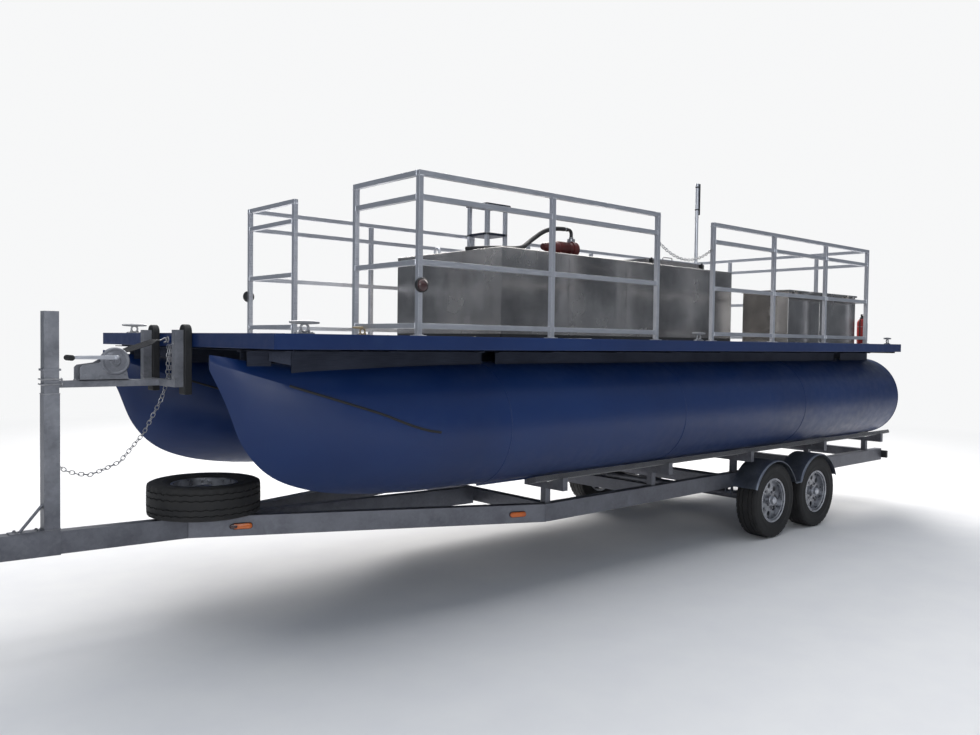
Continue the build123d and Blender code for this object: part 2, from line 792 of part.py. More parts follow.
def coupler():
    """The ball coupler: a channel on the tongue's end and a socket in front."""
    half = TONGUE_W / 2
    x0 = TONGUE_TIP_X
    ball_x = x0 + COUPLER_REACH
    foot = TIP_TOP - COUPLER_H
    body = block(x0, ball_x, -half, half, foot, TIP_TOP)
    body += rod_z(ball_x, 0, foot, TIP_TOP, COUPLER_R + COUPLER_WALL)
    body += block(x0, x0 + COUPLER_BODY, -LATCH_W / 2, LATCH_W / 2, TIP_TOP, TIP_TOP + LATCH_H)
    return body - rod_z(ball_x, 0, foot - BALL_DEPTH, foot + BALL_DEPTH, BALL_R + BALL_PLAY)


def jack_tube():
    """The jack's fixed outer tube on the port face of the tongue, with its crank."""
    face = TONGUE_W / 2 + SLEEVE_T
    low = frame_top(JACK_X) - FRAME_H / 2
    bore = rod_z(JACK_X, JACK_Y, 0, JACK_HEAD - JACK_CAP, JACK_LEG_R + FIT)
    tube = rod_z(JACK_X, JACK_Y, JACK_TUBE_Z, JACK_HEAD, JACK_R)
    tube += block(JACK_X - JACK_R, JACK_X + JACK_R, face, JACK_Y, low, frame_top(JACK_X))
    tube += rod_y(JACK_X, JACK_Y, JACK_Y + JACK_CRANK, JACK_HEAD - JACK_CAP / 2, CRANK_R)
    tip = JACK_Y + JACK_CRANK
    tube += rod_x(JACK_X, JACK_X + JACK_ARM, tip, JACK_HEAD - JACK_CAP / 2, CRANK_R)
    return tube - bore


def jack_leg():
    """The jack's inner leg on its round foot."""
    leg = rod_z(JACK_X, JACK_Y, 0, frame_top(JACK_X) + JACK_LEG_UP, JACK_LEG_R)
    return leg + rod_z(JACK_X, JACK_Y, 0, JACK_FOOT_T, JACK_FOOT_R)


def bunk_bracket(x):
    """A post on the side beam with a saddle that takes two boards."""
    half = BUNK_POST / 2
    seat = TUBE_R + BUNK_T + 2 * SEAT
    low = TUBE_Z - seat - SADDLE_DEEP
    tilt = math.radians(BUNK_ANGLE)
    crown = TUBE_Z - seat / math.cos(tilt)
    side = seat * math.sin(tilt) + BUNK_REACH * math.cos(tilt)
    rise = TUBE_Z - seat * math.cos(tilt) + BUNK_REACH * math.sin(tilt)
    outline = [(-side, low), (side, low), (side, rise), (0, crown), (-side, rise)]
    points = [(x - half, TUBE_Y + y, z) for y, z in outline]
    saddle = extrude(make_face(Polyline(*points, close=True)), amount=BUNK_POST, dir=(1, 0, 0))
    return saddle + block(x - half, x + half, TUBE_Y - half, TUBE_Y + half, FRAME_TOP, low)


def bunk_boards():
    """Two boards under each pontoon, tilted to its curve."""
    found = []
    length = BUNK_XS[0] - BUNK_XS[-1] + 2 * BUNK_OVER
    mid = (BUNK_XS[0] + BUNK_XS[-1]) / 2
    seat = TUBE_R + SEAT + BUNK_T / 2
    for tilt in (-BUNK_ANGLE, BUNK_ANGLE):
        y = TUBE_Y + seat * math.sin(math.radians(tilt))
        z = TUBE_Z - seat * math.cos(math.radians(tilt))
        found.append(Pos(mid, y, z) * Rot(tilt, 0, 0) * Box(length, BUNK_W, BUNK_T))
    return both_sides(found)


# Running gear


def axle(x):
    """An axle beam with a spindle at each end."""
    beam = WHEEL_Y - RIM_W / 2
    spindle = WHEEL_Y + SPINDLE_OUT
    return rod_y(x, -beam, beam, AXLE_Z, AXLE_R) + rod_y(x, -spindle, spindle, AXLE_Z, SPINDLE_R)


def leaf_spring(x):
    """A leaf pack over the axle with its hangers under the side beam."""
    y = FRAME_OUT_Y - FRAME_W / 2
    half = LEAF_W / 2
    foot = AXLE_Z + AXLE_R + SEAT
    leaf = foot + LEAF_UP
    made = block(x - SPRING_HALF, x + SPRING_HALF, y - half, y + half, leaf, leaf + LEAF_T)
    made += block(x - SEAT_BLOCK, x + SEAT_BLOCK, y - half, y + half, foot, leaf + LEAF_T)
    for end in (x - SPRING_HALF, x + SPRING_HALF - HANGER_T):
        made += block(end, end + HANGER_T, y - half, y + half, leaf, FRAME_Z)
    return made


def wheel_rim(x):
    """The steel wheel: lipped barrel, dished disc with windows, and the hub."""
    y0 = WHEEL_Y - RIM_W / 2
    y1 = WHEEL_Y + RIM_W / 2
    barrel = rod_y(x, y0, y1, AXLE_Z, RIM_R)
    barrel += rod_y(x, y0, y0 + LIP_T, AXLE_Z, RIM_R + RIM_LIP) + rod_y(x, y1 - LIP_T, y1, AXLE_Z, RIM_R + RIM_LIP)
    barrel -= rod_y(x, y0 - 1, y1 + 1, AXLE_Z, RIM_R - RIM_WALL)
    disc_y = WHEEL_Y + DISC_OUT
    disc = rod_y(x, disc_y, disc_y + DISC_T, AXLE_Z, RIM_R - RIM_WALL / 2)
    for i in range(WINDOWS):
        angle = 2 * math.pi * i / WINDOWS
        across = WINDOW_RING_R * math.cos(angle)
        up = WINDOW_RING_R * math.sin(angle)
        disc -= rod_y(x + across, disc_y - 1, disc_y + DISC_T + 1, AXLE_Z + up, WINDOW_R)
    hub = rod_y(x, WHEEL_Y - HUB_HALF, WHEEL_Y + HUB_HALF, AXLE_Z, HUB_R)
    bore = rod_y(x, WHEEL_Y - HUB_HALF - 1, WHEEL_Y + SPINDLE_OUT + SEAT, AXLE_Z, SPINDLE_R + FIT)
    return barrel + disc + hub - bore


def tyre():
    """A road tyre with rounded shoulders, at the origin, its axle along Y."""
    half = TYRE_W / 2
    bead = RIM_R + SEAT
    flank = RIM_W / 2 - BEAD_IN
    lip = RIM_R + RIM_LIP + SEAT
    edge = TYRE_R - TYRE_SHOULDER
    waist = (lip + TYRE_R) / 2
    tread = half - TREAD_EDGE
    outline = [
        Line((bead, -flank), (bead, flank)),
        Line((bead, flank), (lip, flank)),
        ThreePointArc((lip, flank), (waist, half), (edge, tread)),
        ThreePointArc((edge, tread), (TYRE_R, 0), (edge, -tread)),
        ThreePointArc((edge, -tread), (waist, -half), (lip, -flank)),
        Line((lip, -flank), (bead, -flank)),
    ]
    return revolve(make_face(Wire(outline)), Axis.Y)


def fender_arch(x, y0, y1):
    """One arched strip over a wheel, with a lip at its outer edge and a stay at the beam."""
    outer = FENDER_R + FENDER_T
    foot = AXLE_Z + FENDER_FOOT
    arch = rod_y(x, y0, y1, AXLE_Z, outer) - rod_y(x, y0 - 1, y1 - FENDER_LIP_W, AXLE_Z, FENDER_R)
    arch -= rod_y(x, y0, y1 + 1, AXLE_Z, FENDER_R - FENDER_LIP)
    arch -= block(x - outer - 1, x + outer + 1, y0 - 1, y1 + 1, -outer, foot)
    half = FENDER_STAY / 2
    return arch + block(x - half, x + half, y0, y0 + FENDER_T, FRAME_TOP - FENDER_STAY, AXLE_Z + FENDER_R + 1)


def fender():
    """The double-arch mudguard over the two port wheels."""
    y0 = FRAME_OUT_Y + SEAT
    y1 = y0 + FENDER_W
    foot = AXLE_Z + FENDER_FOOT
    reach = math.sqrt((FENDER_R + FENDER_T / 2) ** 2 - FENDER_FOOT**2)
    arches = fender_arch(AXLE_XS[0], y0, y1) + fender_arch(AXLE_XS[1], y0, y1)
    return arches + block(AXLE_XS[1] + reach, AXLE_XS[0] - reach, y0, y1, foot, foot + FENDER_T)


def side_marker(x):
    """An amber lamp on the angled face of the port beam."""
    run = APEX_X - KINK_X
    drop = FRAME_OUT_Y - TONGUE_W / 2
    y = FRAME_OUT_Y - (x - KINK_X) * drop / run
    z = frame_top(x) - FRAME_H / 2
    turned = Rot(0, 0, -math.degrees(math.atan2(drop, run)))
    return Pos(x, y, z) * turned * Pos(0, MARKER_T / 2 + SEAT, 0) * Box(MARKER_L, MARKER_T, MARKER_H)


def tail_light():
    """The lamp on the aft end of the port beam."""
    inner = FRAME_OUT_Y - FRAME_W
    mid = FRAME_Z + FRAME_H / 2
    return block(REAR_X - TAIL_T, REAR_X - SEAT, inner, inner + TAIL_W, mid - TAIL_H / 2, mid + TAIL_H / 2)


CARRIER_TOP = frame_top(SPARE_X) + CARRIER_T


def spare_carrier():
    """The plate and stud that hold the spare on the tongue."""
    half = CARRIER_W / 2
    plate = block(SPARE_X - half, SPARE_X + half, -half, half, FRAME_TOP, CARRIER_TOP)
    return seated(plate + rod_z(SPARE_X, 0, FRAME_TOP, CARRIER_TOP + CARRIER_W, SPINDLE_R))


def laid_spare(wheel):
    """A wheel's piece, laid flat on the carrier."""
    return Pos(SPARE_X, 0, CARRIER_TOP + SEAT + TYRE_W / 2) * Rot(90, 0, 0) * wheel


# Winch stand


def winch_post():
    """The upright on the tongue: sleeve, inner tube, clamp band, foot and brace."""
    half = WINCH_POST_W / 2
    wide = half + POST_SLEEVE_T
    x = WINCH_POST_X
    band_half = half + BAND_OUT
    band = POST_SEAT_Z + BAND_UP
    post = block(x - half, x + half, -half, half, FRAME_TOP, POST_SEAT_Z + WINCH_POST_H)
    post += block(x - wide, x + wide, -wide, wide, FRAME_TOP, POST_SEAT_Z + POST_SLEEVE_H)
    post += block(x - band_half, x + band_half, -band_half, band_half, band, band + BAND_H)
    foot = SLEEVE_X + SEAT
    post += block(foot, x + POST_FOOT + BRACE_OUT, -half, half, FRAME_TOP, POST_SEAT_Z + POST_FOOT_T)
    brace = Line((x + half, 0, POST_SEAT_Z + BRACE_UP), (x + half + BRACE_OUT, 0, POST_SEAT_Z + POST_FOOT_T / 2))
    post += sweep(Plane(origin=brace @ 0, z_dir=brace % 0) * Circle(BRACE_R), path=brace)
    return seated(post)


def winch_arm():
    """The arm from the post to the bow stops."""
    half = WINCH_ARM_W / 2
    x1 = WINCH_POST_X - WINCH_POST_W / 2
    return block(STOP_X, x1, -half, half, ARM_Z - WINCH_ARM_T, ARM_Z)


def bow_stops():
    """Two upright channels joined by a bar across the arm's end."""
    x0 = STOP_X - STOP_D
    foot = ARM_Z - WINCH_ARM_T
    half = STOP_D / 2
    made = block(x0, STOP_X, -STOP_Y, STOP_Y, foot, ARM_Z)
    for y in (-STOP_Y, STOP_Y):
        made += block(x0, STOP_X, y - half, y + half, foot, STOP_TOP)
    return made


def stop_pad():
    """The port rubber pad between a stop and the deck's edge."""
    half = PAD_W / 2
    return block(DECK_L + SEAT, STOP_X - STOP_D, STOP_Y - half, STOP_Y + half, PAD_Z, PAD_TOP)


def winch():
    """The hand winch: base, cheeks, drum, gear and its cranked handle."""
    x = WINCH_X
    z = ARM_Z + DRUM_UP
    side = DRUM_HALF + CHEEK_T
    made = block(x - WINCH_BASE, x + WINCH_BASE, -side, side, ARM_Z, ARM_Z + WINCH_BASE_T)
    made += rod_y(x, -side, side, z, DRUM_R)
    made += rod_y(x, DRUM_HALF - GEAR_T, DRUM_HALF, z, GEAR_R)
    for y in (-side, DRUM_HALF):
        made += block(x - CHEEK_HALF, x + CHEEK_HALF, y, y + CHEEK_T, ARM_Z, z + CHEEK_UP)
    shaft_x = x + SHAFT_X
    shaft_z = z + SHAFT_UP
    made += rod_y(shaft_x, DRUM_HALF, HANDLE_Y + GRIP_R, shaft_z, SHAFT_R)
    made += rod_x(shaft_x, shaft_x + HANDLE_L, HANDLE_Y, shaft_z, HANDLE_R)
    return made + rod_y(shaft_x + HANDLE_L, HANDLE_Y - GRIP_R, HANDLE_Y + GRIP_L, shaft_z, GRIP_R)


def winch_strap():
    """The tight strap from the drum to its hook at the bow eye."""
    drum_z = ARM_Z + DRUM_UP
    hook_z = DECK_Z - HOOK_DOWN
    reach = WINCH_X - HOOK_X
    angle = math.atan2(hook_z - drum_z - DRUM_R, reach)
    off = DRUM_R + SEAT + STRAP_T / 2
    length = reach / math.cos(angle)
    x = WINCH_X + off * math.sin(angle) - reach / 2
    z = drum_z + off * math.cos(angle) + length / 2 * math.sin(angle)
    strap = Pos(x, 0, z) * Rot(0, math.degrees(angle), 0) * Box(length, STRAP_W, STRAP_T)
    return strap + rod_x(DECK_L + BOW_EYE_OUT + SEAT, HOOK_X + 2 * HOOK_R, 0, hook_z, HOOK_R)


# Chains


def link(middle, along, turned):
    """One open link at a place along a chain, every second one turned."""
    tip = LINK_SPAN / 2
    waist = LINK_SPAN / 4
    outer = [(tip + LINK_BAR, 0), (waist, LINK_HALF + LINK_BAR), (-waist, LINK_HALF + LINK_BAR)]
    inner = [(tip, 0), (waist, LINK_HALF), (-waist, LINK_HALF)]
    outline = [make_face(Polyline(*half, *[(-x, -y) for x, y in half], close=True)) for half in (outer, inner)]
    across = Vector(0, 1, 0)
    normal = along.cross(across) if turned else across
    ring = Plane(origin=middle, x_dir=along, z_dir=normal) * (outline[0] - outline[1])
    return extrude(ring, amount=LINK_BAR / 2, both=True)


def chain(route):
    """Links at even steps along a route, each biting a little into the next."""
    runs = [after - before for before, after in zip(route, route[1:])]
    total = sum(run.length for run in runs)
    count = round(total / (LINK_SPAN - LINK_BITE))
    made = []
    for i in range(count):
        left = total * (i + 0.5) / count
        for start, run in zip(route, runs):
            if left <= run.length:
                break
            left -= run.length
        along = run.normalized()
        made.append(link(start + along * left, along, i % 2 == 1))
    return made[0].fuse(*made[1:])


def gate_chain():
    """The chain that hangs across the port gate."""
    gap = POST_TUBE / 2 + LINK_BAR + SEAT
    x0 = SIDE_GATE_AFT_X + gap
    x1 = SIDE_GATE_FRONT_X - gap
    low = DECK_Z + GATE_CHAIN_UP - GATE_CHAIN_SAG
    steps = 16
    places = [2 * i / steps - 1 for i in range(steps + 1)]
    return chain([Vector((x0 + x1) / 2 + t * (x1 - x0) / 2, RAIL_MID_Y, low + GATE_CHAIN_SAG * t * t) for t in places])


def safety_chain():
    """The chain from the bow eye to the winch post, with a short spare strand."""
    main = chain([Vector(x, -CHAIN_BESIDE, z) for x, z in SAFETY_ROUTE])
    top = Vector(SAFETY_ROUTE[0][0], CHAIN_BESIDE, SAFETY_ROUTE[0][1])
    strand = chain([top, top - Vector(0, 0, SPARE_STRAND * (LINK_SPAN - LINK_BITE))])
    return [main, strand]


# All nodes by name

parts = {}
parts["pontoon_port"] = pontoon()
parts["pontoon_starboard"] = mirrored(parts["pontoon_port"])
parts["deck_risers"] = risers()
parts["deck_beams"] = deck_beams()
parts["deck_floor"] = deck_floor()
parts["deck_fascia"] = deck_fascia()
parts.update(rails())
parts["gate_chain"] = gate_chain()
parts["water_tank"] = water_tank()
parts["tank_hatch"] = tank_hatch()
parts["aft_locker"] = aft_locker()
parts["locker_lid"] = locker_lid()
parts["console_frame"] = console_frame()
parts["light_mast"] = light_mast()
parts["side_lights"] = side_lights()
parts["pump"] = pump()
parts["pump_hose"] = pump_hose()
parts["bow_roller"] = bow_roller()
parts["cleats"] = both_sides([cleat(x) for x in CLEAT_XS])
parts["fire_extinguisher"] = fire_extinguisher()
parts["motor_transom"] = motor_transom()
parts["frame_port"] = frame_side()
parts["frame_starboard"] = mirrored(parts["frame_port"])
parts["tongue"] = tongue()
parts["cross_members"] = cross_members()
parts["coupler"] = coupler()
parts["jack_tube"] = jack_tube()
parts["jack_leg"] = jack_leg()
parts["winch_post"] = winch_post()
parts["winch_arm"] = winch_arm()
parts["bow_stops"] = bow_stops()
parts["stop_pads"] = both_sides([stop_pad()])
parts["winch"] = winch()
parts["winch_strap"] = winch_strap()
parts["safety_chain"] = safety_chain()
parts["bunk_brackets"] = both_sides([bunk_bracket(x) for x in BUNK_XS])
parts["bunk_boards"] = bunk_boards()
parts["axles"] = [axle(x) for x in AXLE_XS]
parts["leaf_springs"] = both_sides([leaf_spring(x) for x in AXLE_XS])
for end, axle_x in zip(("front", "rear"), AXLE_XS):
    rim = wheel_rim(axle_x)
    rubber = Pos(axle_x, WHEEL_Y, AXLE_Z) * tyre()
    parts["rim_port_" + end] = rim
    parts["rim_starboard_" + end] = mirrored(rim)
    parts["tyre_port_" + end] = rubber
    parts["tyre_starboard_" + end] = mirrored(rubber)
parts["fender_port"] = fender()
parts["fender_starboard"] = mirrored(parts["fender_port"])
parts["side_markers"] = both_sides([side_marker(x) for x in MARKER_XS])
parts["tail_lights"] = both_sides([tail_light()])
parts["spare_carrier"] = spare_carrier()
parts["spare_rim"] = laid_spare(Pos(0, -WHEEL_Y, -AXLE_Z) * wheel_rim(0))
parts["spare_tyre"] = laid_spare(tyre())

# Each node goes to its own file, moved so that the whole length is centred on the origin

COUPLER_END = TONGUE_TIP_X + COUPLER_REACH + COUPLER_R + COUPLER_WALL
MID_X = (COUPLER_END + REAR_X - TAIL_T) / 2
os.makedirs("parts", exist_ok=True)
for name, shape in parts.items():
    solids = shape if isinstance(shape, list) else [shape]
    moved = [Pos(-MID_X, 0, 0) * solid for solid in solids]
    export_step(moved[0] if len(moved) == 1 else Compound(children=moved), "parts/" + name + ".step")
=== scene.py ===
import json
import math
import random
from itertools import product

import bmesh
import bpy
from mathutils import Matrix, Vector, noise


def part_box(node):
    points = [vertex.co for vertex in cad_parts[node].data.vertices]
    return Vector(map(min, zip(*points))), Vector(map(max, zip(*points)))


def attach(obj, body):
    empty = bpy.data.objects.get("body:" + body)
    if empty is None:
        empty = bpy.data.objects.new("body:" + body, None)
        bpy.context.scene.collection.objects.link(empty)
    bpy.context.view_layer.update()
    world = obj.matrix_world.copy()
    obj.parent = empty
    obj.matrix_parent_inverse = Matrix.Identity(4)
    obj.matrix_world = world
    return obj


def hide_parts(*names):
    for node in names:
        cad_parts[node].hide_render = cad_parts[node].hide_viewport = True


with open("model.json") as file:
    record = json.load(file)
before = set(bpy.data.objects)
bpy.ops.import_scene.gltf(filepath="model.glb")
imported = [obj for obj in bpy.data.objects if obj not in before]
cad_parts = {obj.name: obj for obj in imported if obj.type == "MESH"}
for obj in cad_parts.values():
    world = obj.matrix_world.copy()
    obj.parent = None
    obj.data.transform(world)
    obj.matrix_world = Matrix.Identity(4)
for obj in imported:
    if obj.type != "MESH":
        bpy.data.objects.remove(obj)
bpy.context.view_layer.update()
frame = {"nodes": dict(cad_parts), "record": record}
nodes = frame["nodes"]
SLOTS = {s["node"]: s["material_slot"] for s in frame["record"]["subparts"]}

# Lengths are in metres, apart from the small sizes that moved() and a Piece take, in millimetres
MM = 0.001
FORWARD = Vector((1, 0, 0))
PORT = Vector((0, 1, 0))
UP = Vector((0, 0, 1))
SIDES = (-1, 1)
SQUARE = ((1, 1), (-1, 1), (-1, -1), (1, -1), (1, 1))


# Camera, as fitted to the photograph

CAMERA_AT = Vector((4.9535, 5.149, 1.751))
CAMERA_LENS = 31.305
YAW, PITCH_DOWN, ROLL = (math.radians(a) for a in (48.25, -1.73, 0.74))


def placed(name, data):
    """An object made from its data and put into the scene."""
    made = bpy.data.objects.new(name, data)
    bpy.context.scene.collection.objects.link(made)
    return made


def make_camera():
    """The camera at the photograph's place, aimed by its heading, pitch and roll."""
    data = bpy.data.cameras.new("camera")
    data.sensor_width = 36.0
    data.lens = CAMERA_LENS
    data.clip_end = 200.0
    camera = placed("camera", data)
    level = math.cos(PITCH_DOWN)
    ahead = Vector((-math.cos(YAW) * level, -math.sin(YAW) * level, math.sin(PITCH_DOWN)))
    right = ahead.cross(UP).normalized()
    up = right.cross(ahead)
    turned_right = right * math.cos(ROLL) + up * math.sin(ROLL)
    turned_up = up * math.cos(ROLL) - right * math.sin(ROLL)
    axes = Matrix((turned_right, turned_up, -ahead)).transposed()
    camera.matrix_world = Matrix.Translation(CAMERA_AT) @ axes.to_4x4()
    bpy.context.scene.camera = camera


# Light and floor

# Softboxes as name, place, height they look at, size, power and tint:
# a broad one high behind the boat, a weaker one overhead and a low fill from the camera's side
LAMPS = (
    ("key", (-7.0, -8.5, 9.5), 1.0, (13.0, 8.0), 3000.0, (1.0, 0.97, 0.93)),
    ("top", (0.0, 1.0, 12.0), 1.0, (14.0, 9.0), 850.0, (1.0, 1.0, 1.0)),
    ("fill", (7.5, 10.0, 3.6), 1.4, (8.0, 4.0), 420.0, (0.93, 0.96, 1.0)),
)
BACKDROP = (0.93, 0.935, 0.94)
HORIZON_GLOW = (0.34, 0.37, 0.42)
ZENITH_GLOW = (0.62, 0.70, 0.82)
GLOW_STRENGTH = 0.5
FLOOR_REACH = 80.0
FLOOR_NEAR = 6.0
FLOOR_FAR = 15.0


def make_lights():
    """The softboxes, each turned to the boat's middle."""
    for name, at, height, size, power, tint in LAMPS:
        data = bpy.data.lights.new(name, "AREA")
        data.shape = "RECTANGLE"
        data.size, data.size_y = size
        data.energy = power
        data.color = tint
        lamp = placed(name, data)
        lamp.location = at
        lamp.rotation_euler = (UP * height - Vector(at)).to_track_quat("-Z", "Y").to_euler()


def plug(tree, socket, value):
    """Links a socket to another node's output, or gives it a plain value."""
    if isinstance(value, bpy.types.NodeSocket):
        tree.links.new(value, socket)
    else:
        socket.default_value = (*value, 1) if socket.type == "RGBA" else value


def add_node(tree, kind, inputs=(), **settings):
    """A shader node with its settings and its sockets filled."""
    node = tree.nodes.new("ShaderNode" + kind)
    for key, value in settings.items():
        setattr(node, key, value)
    for key, value in dict(inputs).items():
        plug(tree, node.inputs[key], value)
    return node


def make_world():
    """White to the camera; as a light, soft blue-grey that is brighter overhead."""
    world = bpy.data.worlds.new("studio")
    world.use_nodes = True
    tree = world.node_tree
    tree.nodes.clear()
    place = add_node(tree, "TexCoord").outputs["Generated"]
    shade = add_node(tree, "ValToRGB", {"Fac": add_node(tree, "SeparateXYZ", {0: place}).outputs["Z"]})
    for element, tint in zip(shade.color_ramp.elements, (HORIZON_GLOW, ZENITH_GLOW)):
        element.color = (*tint, 1)
    glow = add_node(tree, "Background", {"Strength": GLOW_STRENGTH, "Color": shade.outputs["Color"]})
    seen = add_node(tree, "Background", {"Color": BACKDROP})
    ray = add_node(tree, "LightPath").outputs["Is Camera Ray"]
    mix = add_node(tree, "MixShader", {"Fac": ray, 1: glow.outputs[0], 2: seen.outputs[0]})
    add_node(tree, "OutputWorld", {"Surface": mix.outputs[0]})
    bpy.context.scene.world = world
    bpy.context.scene.view_settings.view_transform = "Standard"


def make_floor():
    """A wide pale floor that runs into the white backdrop well away from the boat."""
    mesh = bpy.data.meshes.new("floor")
    corners = [(a * FLOOR_REACH, b * FLOOR_REACH, 0) for a, b in ((-1, -1), (1, -1), (1, 1), (-1, 1))]
    mesh.from_pydata(corners, [], [(0, 1, 2, 3)])
    paint = Paint("floor_paper")
    paper = paint.ramp(paint.noise(3.0, 4.0), (0.3, (0.72, 0.72, 0.73)), (0.7, (0.75, 0.75, 0.75)))
    paint.face(paper, 0.9)
    away = paint.node("VectorMath", {0: paint.place}, operation="LENGTH").outputs["Value"]
    far = paint.fit(away, 0.0, 1.0, FLOOR_NEAR, FLOOR_FAR)
    ray = paint.node("LightPath").outputs["Is Camera Ray"]
    white = paint.node("Emission", {"Color": BACKDROP}).outputs[0]
    share = paint.maths("MULTIPLY", far, ray)
    blend = paint.node("MixShader", {"Fac": share, 1: paint.shader.outputs[0], 2: white})
    plug(paint.tree, paint.tree.nodes["Material Output"].inputs["Surface"], blend.outputs[0])
    mesh.materials.append(paint.done)
    placed("floor", mesh)


# Materials


class Paint:
    """A procedural material, put together from a few named steps."""

    def __init__(self, name, metallic=0.0):
        self.name = name
        self.done = bpy.data.materials.new(name)
        self.done.use_nodes = True
        self.tree = self.done.node_tree
        self.shader = self.tree.nodes["Principled BSDF"]
        self.place = self.node("TexCoord").outputs["Object"]
        self.set("Metallic", metallic)

    def node(self, kind, inputs=(), **settings):
        return add_node(self.tree, kind, inputs, **settings)

    def set(self, socket, value):
        """A value or a node's output on the shader's own socket."""
        plug(self.tree, self.shader.inputs[socket], value)

    def face(self, colour, roughness):
        self.set("Base Color", colour)
        self.set("Roughness", roughness)

    def noise(self, scale, detail, stretch=None):
        """Cloudy noise over the object's coordinates, stretched where asked."""
        place = self.place
        if stretch:
            place = self.node("Mapping", {"Scale": stretch, "Vector": place}).outputs["Vector"]
        values = {"Scale": scale, "Detail": detail, "Roughness": 0.55, "Vector": place}
        return self.node("TexNoise", values).outputs["Fac"]

    def bands(self, scale, axis):
        """Even waves along one axis."""
        values = {"Scale": scale, "Vector": self.place}
        return self.node("TexWave", values, bands_direction=axis).outputs["Fac"]

    def ramp(self, value, *stops):
        """A value turned into colours between two stops."""
        node = self.node("ValToRGB", {"Fac": value})
        for element, (at, shade) in zip(node.color_ramp.elements, stops):
            element.position = at
            element.color = (*shade, 1)
        return node.outputs["Color"]

    def fit(self, value, low, high, start=0.3, end=0.7):
        """A value moved to a new range."""
        spans = {"From Min": start, "From Max": end, "To Min": low, "To Max": high, "Value": value}
        return self.node("MapRange", spans).outputs["Result"]

    def maths(self, kind, a, b):
        """One sum on two values, each a socket or a number."""
        return self.node("Math", {0: a, 1: b}, operation=kind).outputs["Value"]

    def mixed(self, share, a, b, kind="MIX"):
        """Two colours mixed by a share."""
        node = self.node("Mix", data_type="RGBA", blend_type=kind)
        for key, value in (("Factor", share), (6, a), (7, b)):
            plug(self.tree, node.inputs[key], value)
        return node.outputs[2]

    def height(self):
        """How high a point stands over the ground, in metres."""
        return self.node("SeparateXYZ", {"Vector": self.place}).outputs["Z"]

    def bump(self, value, strength, depth):
        """A bump of a real depth in metres, added over the last one."""
        values = {"Strength": strength, "Distance": depth, "Height": value}
        before = self.shader.inputs["Normal"].links
        if before:
            values["Normal"] = before[0].from_socket
        self.set("Normal", self.node("Bump", values).outputs["Normal"])


def hull_paint():
    """Satin navy coating on sheet aluminium, faintly uneven and dusty low down."""
    paint = Paint("hull_blue")
    fine = paint.noise(14.0, 5.0)
    shades = (0.30, (0.0030, 0.0170, 0.0800)), (0.70, (0.0050, 0.0260, 0.1130))
    blue = paint.ramp(paint.noise(0.9, 2.0), *shades)
    worn = paint.mixed(paint.fit(fine, 0.0, 0.22, 0.50, 0.80), blue, (0.012, 0.042, 0.125))
    dust = paint.fit(paint.height(), 0.14, 0.0, 0.80, 1.10)
    paint.face(paint.mixed(dust, worn, (0.060, 0.060, 0.058)), paint.fit(fine, 0.34, 0.50))
    for socket, value in (("Specular IOR Level", 0.35), ("Coat Weight", 0.10), ("Coat Roughness", 0.28)):
        paint.set(socket, value)
    paint.bump(paint.noise(3.2, 2.0, (1.0, 1.0, 1.6)), 0.35, 0.012)
    paint.bump(paint.noise(260.0, 2.0), 0.18, 0.0006)
    return paint


def brushed(name, dark, light, low=0.28, high=0.46):
    """Bare aluminium with a drawn grain, smears and small dents."""
    paint = Paint(name, metallic=1.0)
    drawn = paint.noise(9.0, 4.0, (1.0, 40.0, 40.0))
    smear = paint.noise(3.5, 4.0)
    tone = paint.ramp(drawn, (0.30, dark), (0.70, light))
    tone = paint.mixed(paint.fit(smear, 0.0, 0.35, 0.45, 0.75), tone, tuple(0.72 * v for v in dark))
    paint.face(tone, paint.maths("ADD", paint.fit(drawn, low, high), paint.fit(smear, 0.0, 0.10)))
    paint.bump(drawn, 0.12, 0.0008)
    paint.bump(paint.noise(40.0, 3.0), 0.10, 0.0010)
    return paint


def tank_sheet():
    """Mill-finish sheet with a soft mirror and faint rolling lines; one cloud gives handling marks in its
    roughness and painted highlight sweeps in its tone, tinted warm as a painted reflection.
    """
    paint = Paint("tank_sheet", metallic=1.0)
    rolled = paint.noise(5.0, 3.0, (1.0, 1.0, 0.12))
    marks_and_highlights = paint.noise(2.6, 4.0)
    # Painted highlights: the cloud's light patches in the tone stand for light sweeping over the sheet, and
    # the warm tint is a painted reflection
    tone = paint.ramp(marks_and_highlights, (0.30, (0.26, 0.250, 0.245)), (0.70, (0.46, 0.445, 0.43)))
    tone = paint.mixed(paint.fit(rolled, 0.0, 0.30, 0.45, 0.80), tone, (0.22, 0.21, 0.20))
    paint.face(tone, paint.maths("ADD", paint.fit(marks_and_highlights, 0.15, 0.25), paint.fit(rolled, 0.0, 0.07)))
    paint.bump(paint.noise(2.2, 1.0), 0.40, 0.016)
    paint.bump(rolled, 0.05, 0.0010)
    return paint


def deck_plate():
    """Dull deck plate with a fine raised grip pattern and footmarks."""
    paint = Paint("deck_plate", metallic=0.9)
    grip = paint.maths("MULTIPLY", paint.bands(30.0, "X"), paint.bands(30.0, "Y"))
    dirt = paint.noise(2.4, 5.0)
    tone = paint.ramp(dirt, (0.30, (0.33, 0.335, 0.34)), (0.75, (0.50, 0.505, 0.51)))
    paint.face(tone, paint.fit(dirt, 0.42, 0.62))
    paint.bump(grip, 0.5, 0.0015)
    return paint


ROAD_FILM = (0.66, 0.66, 0.68)


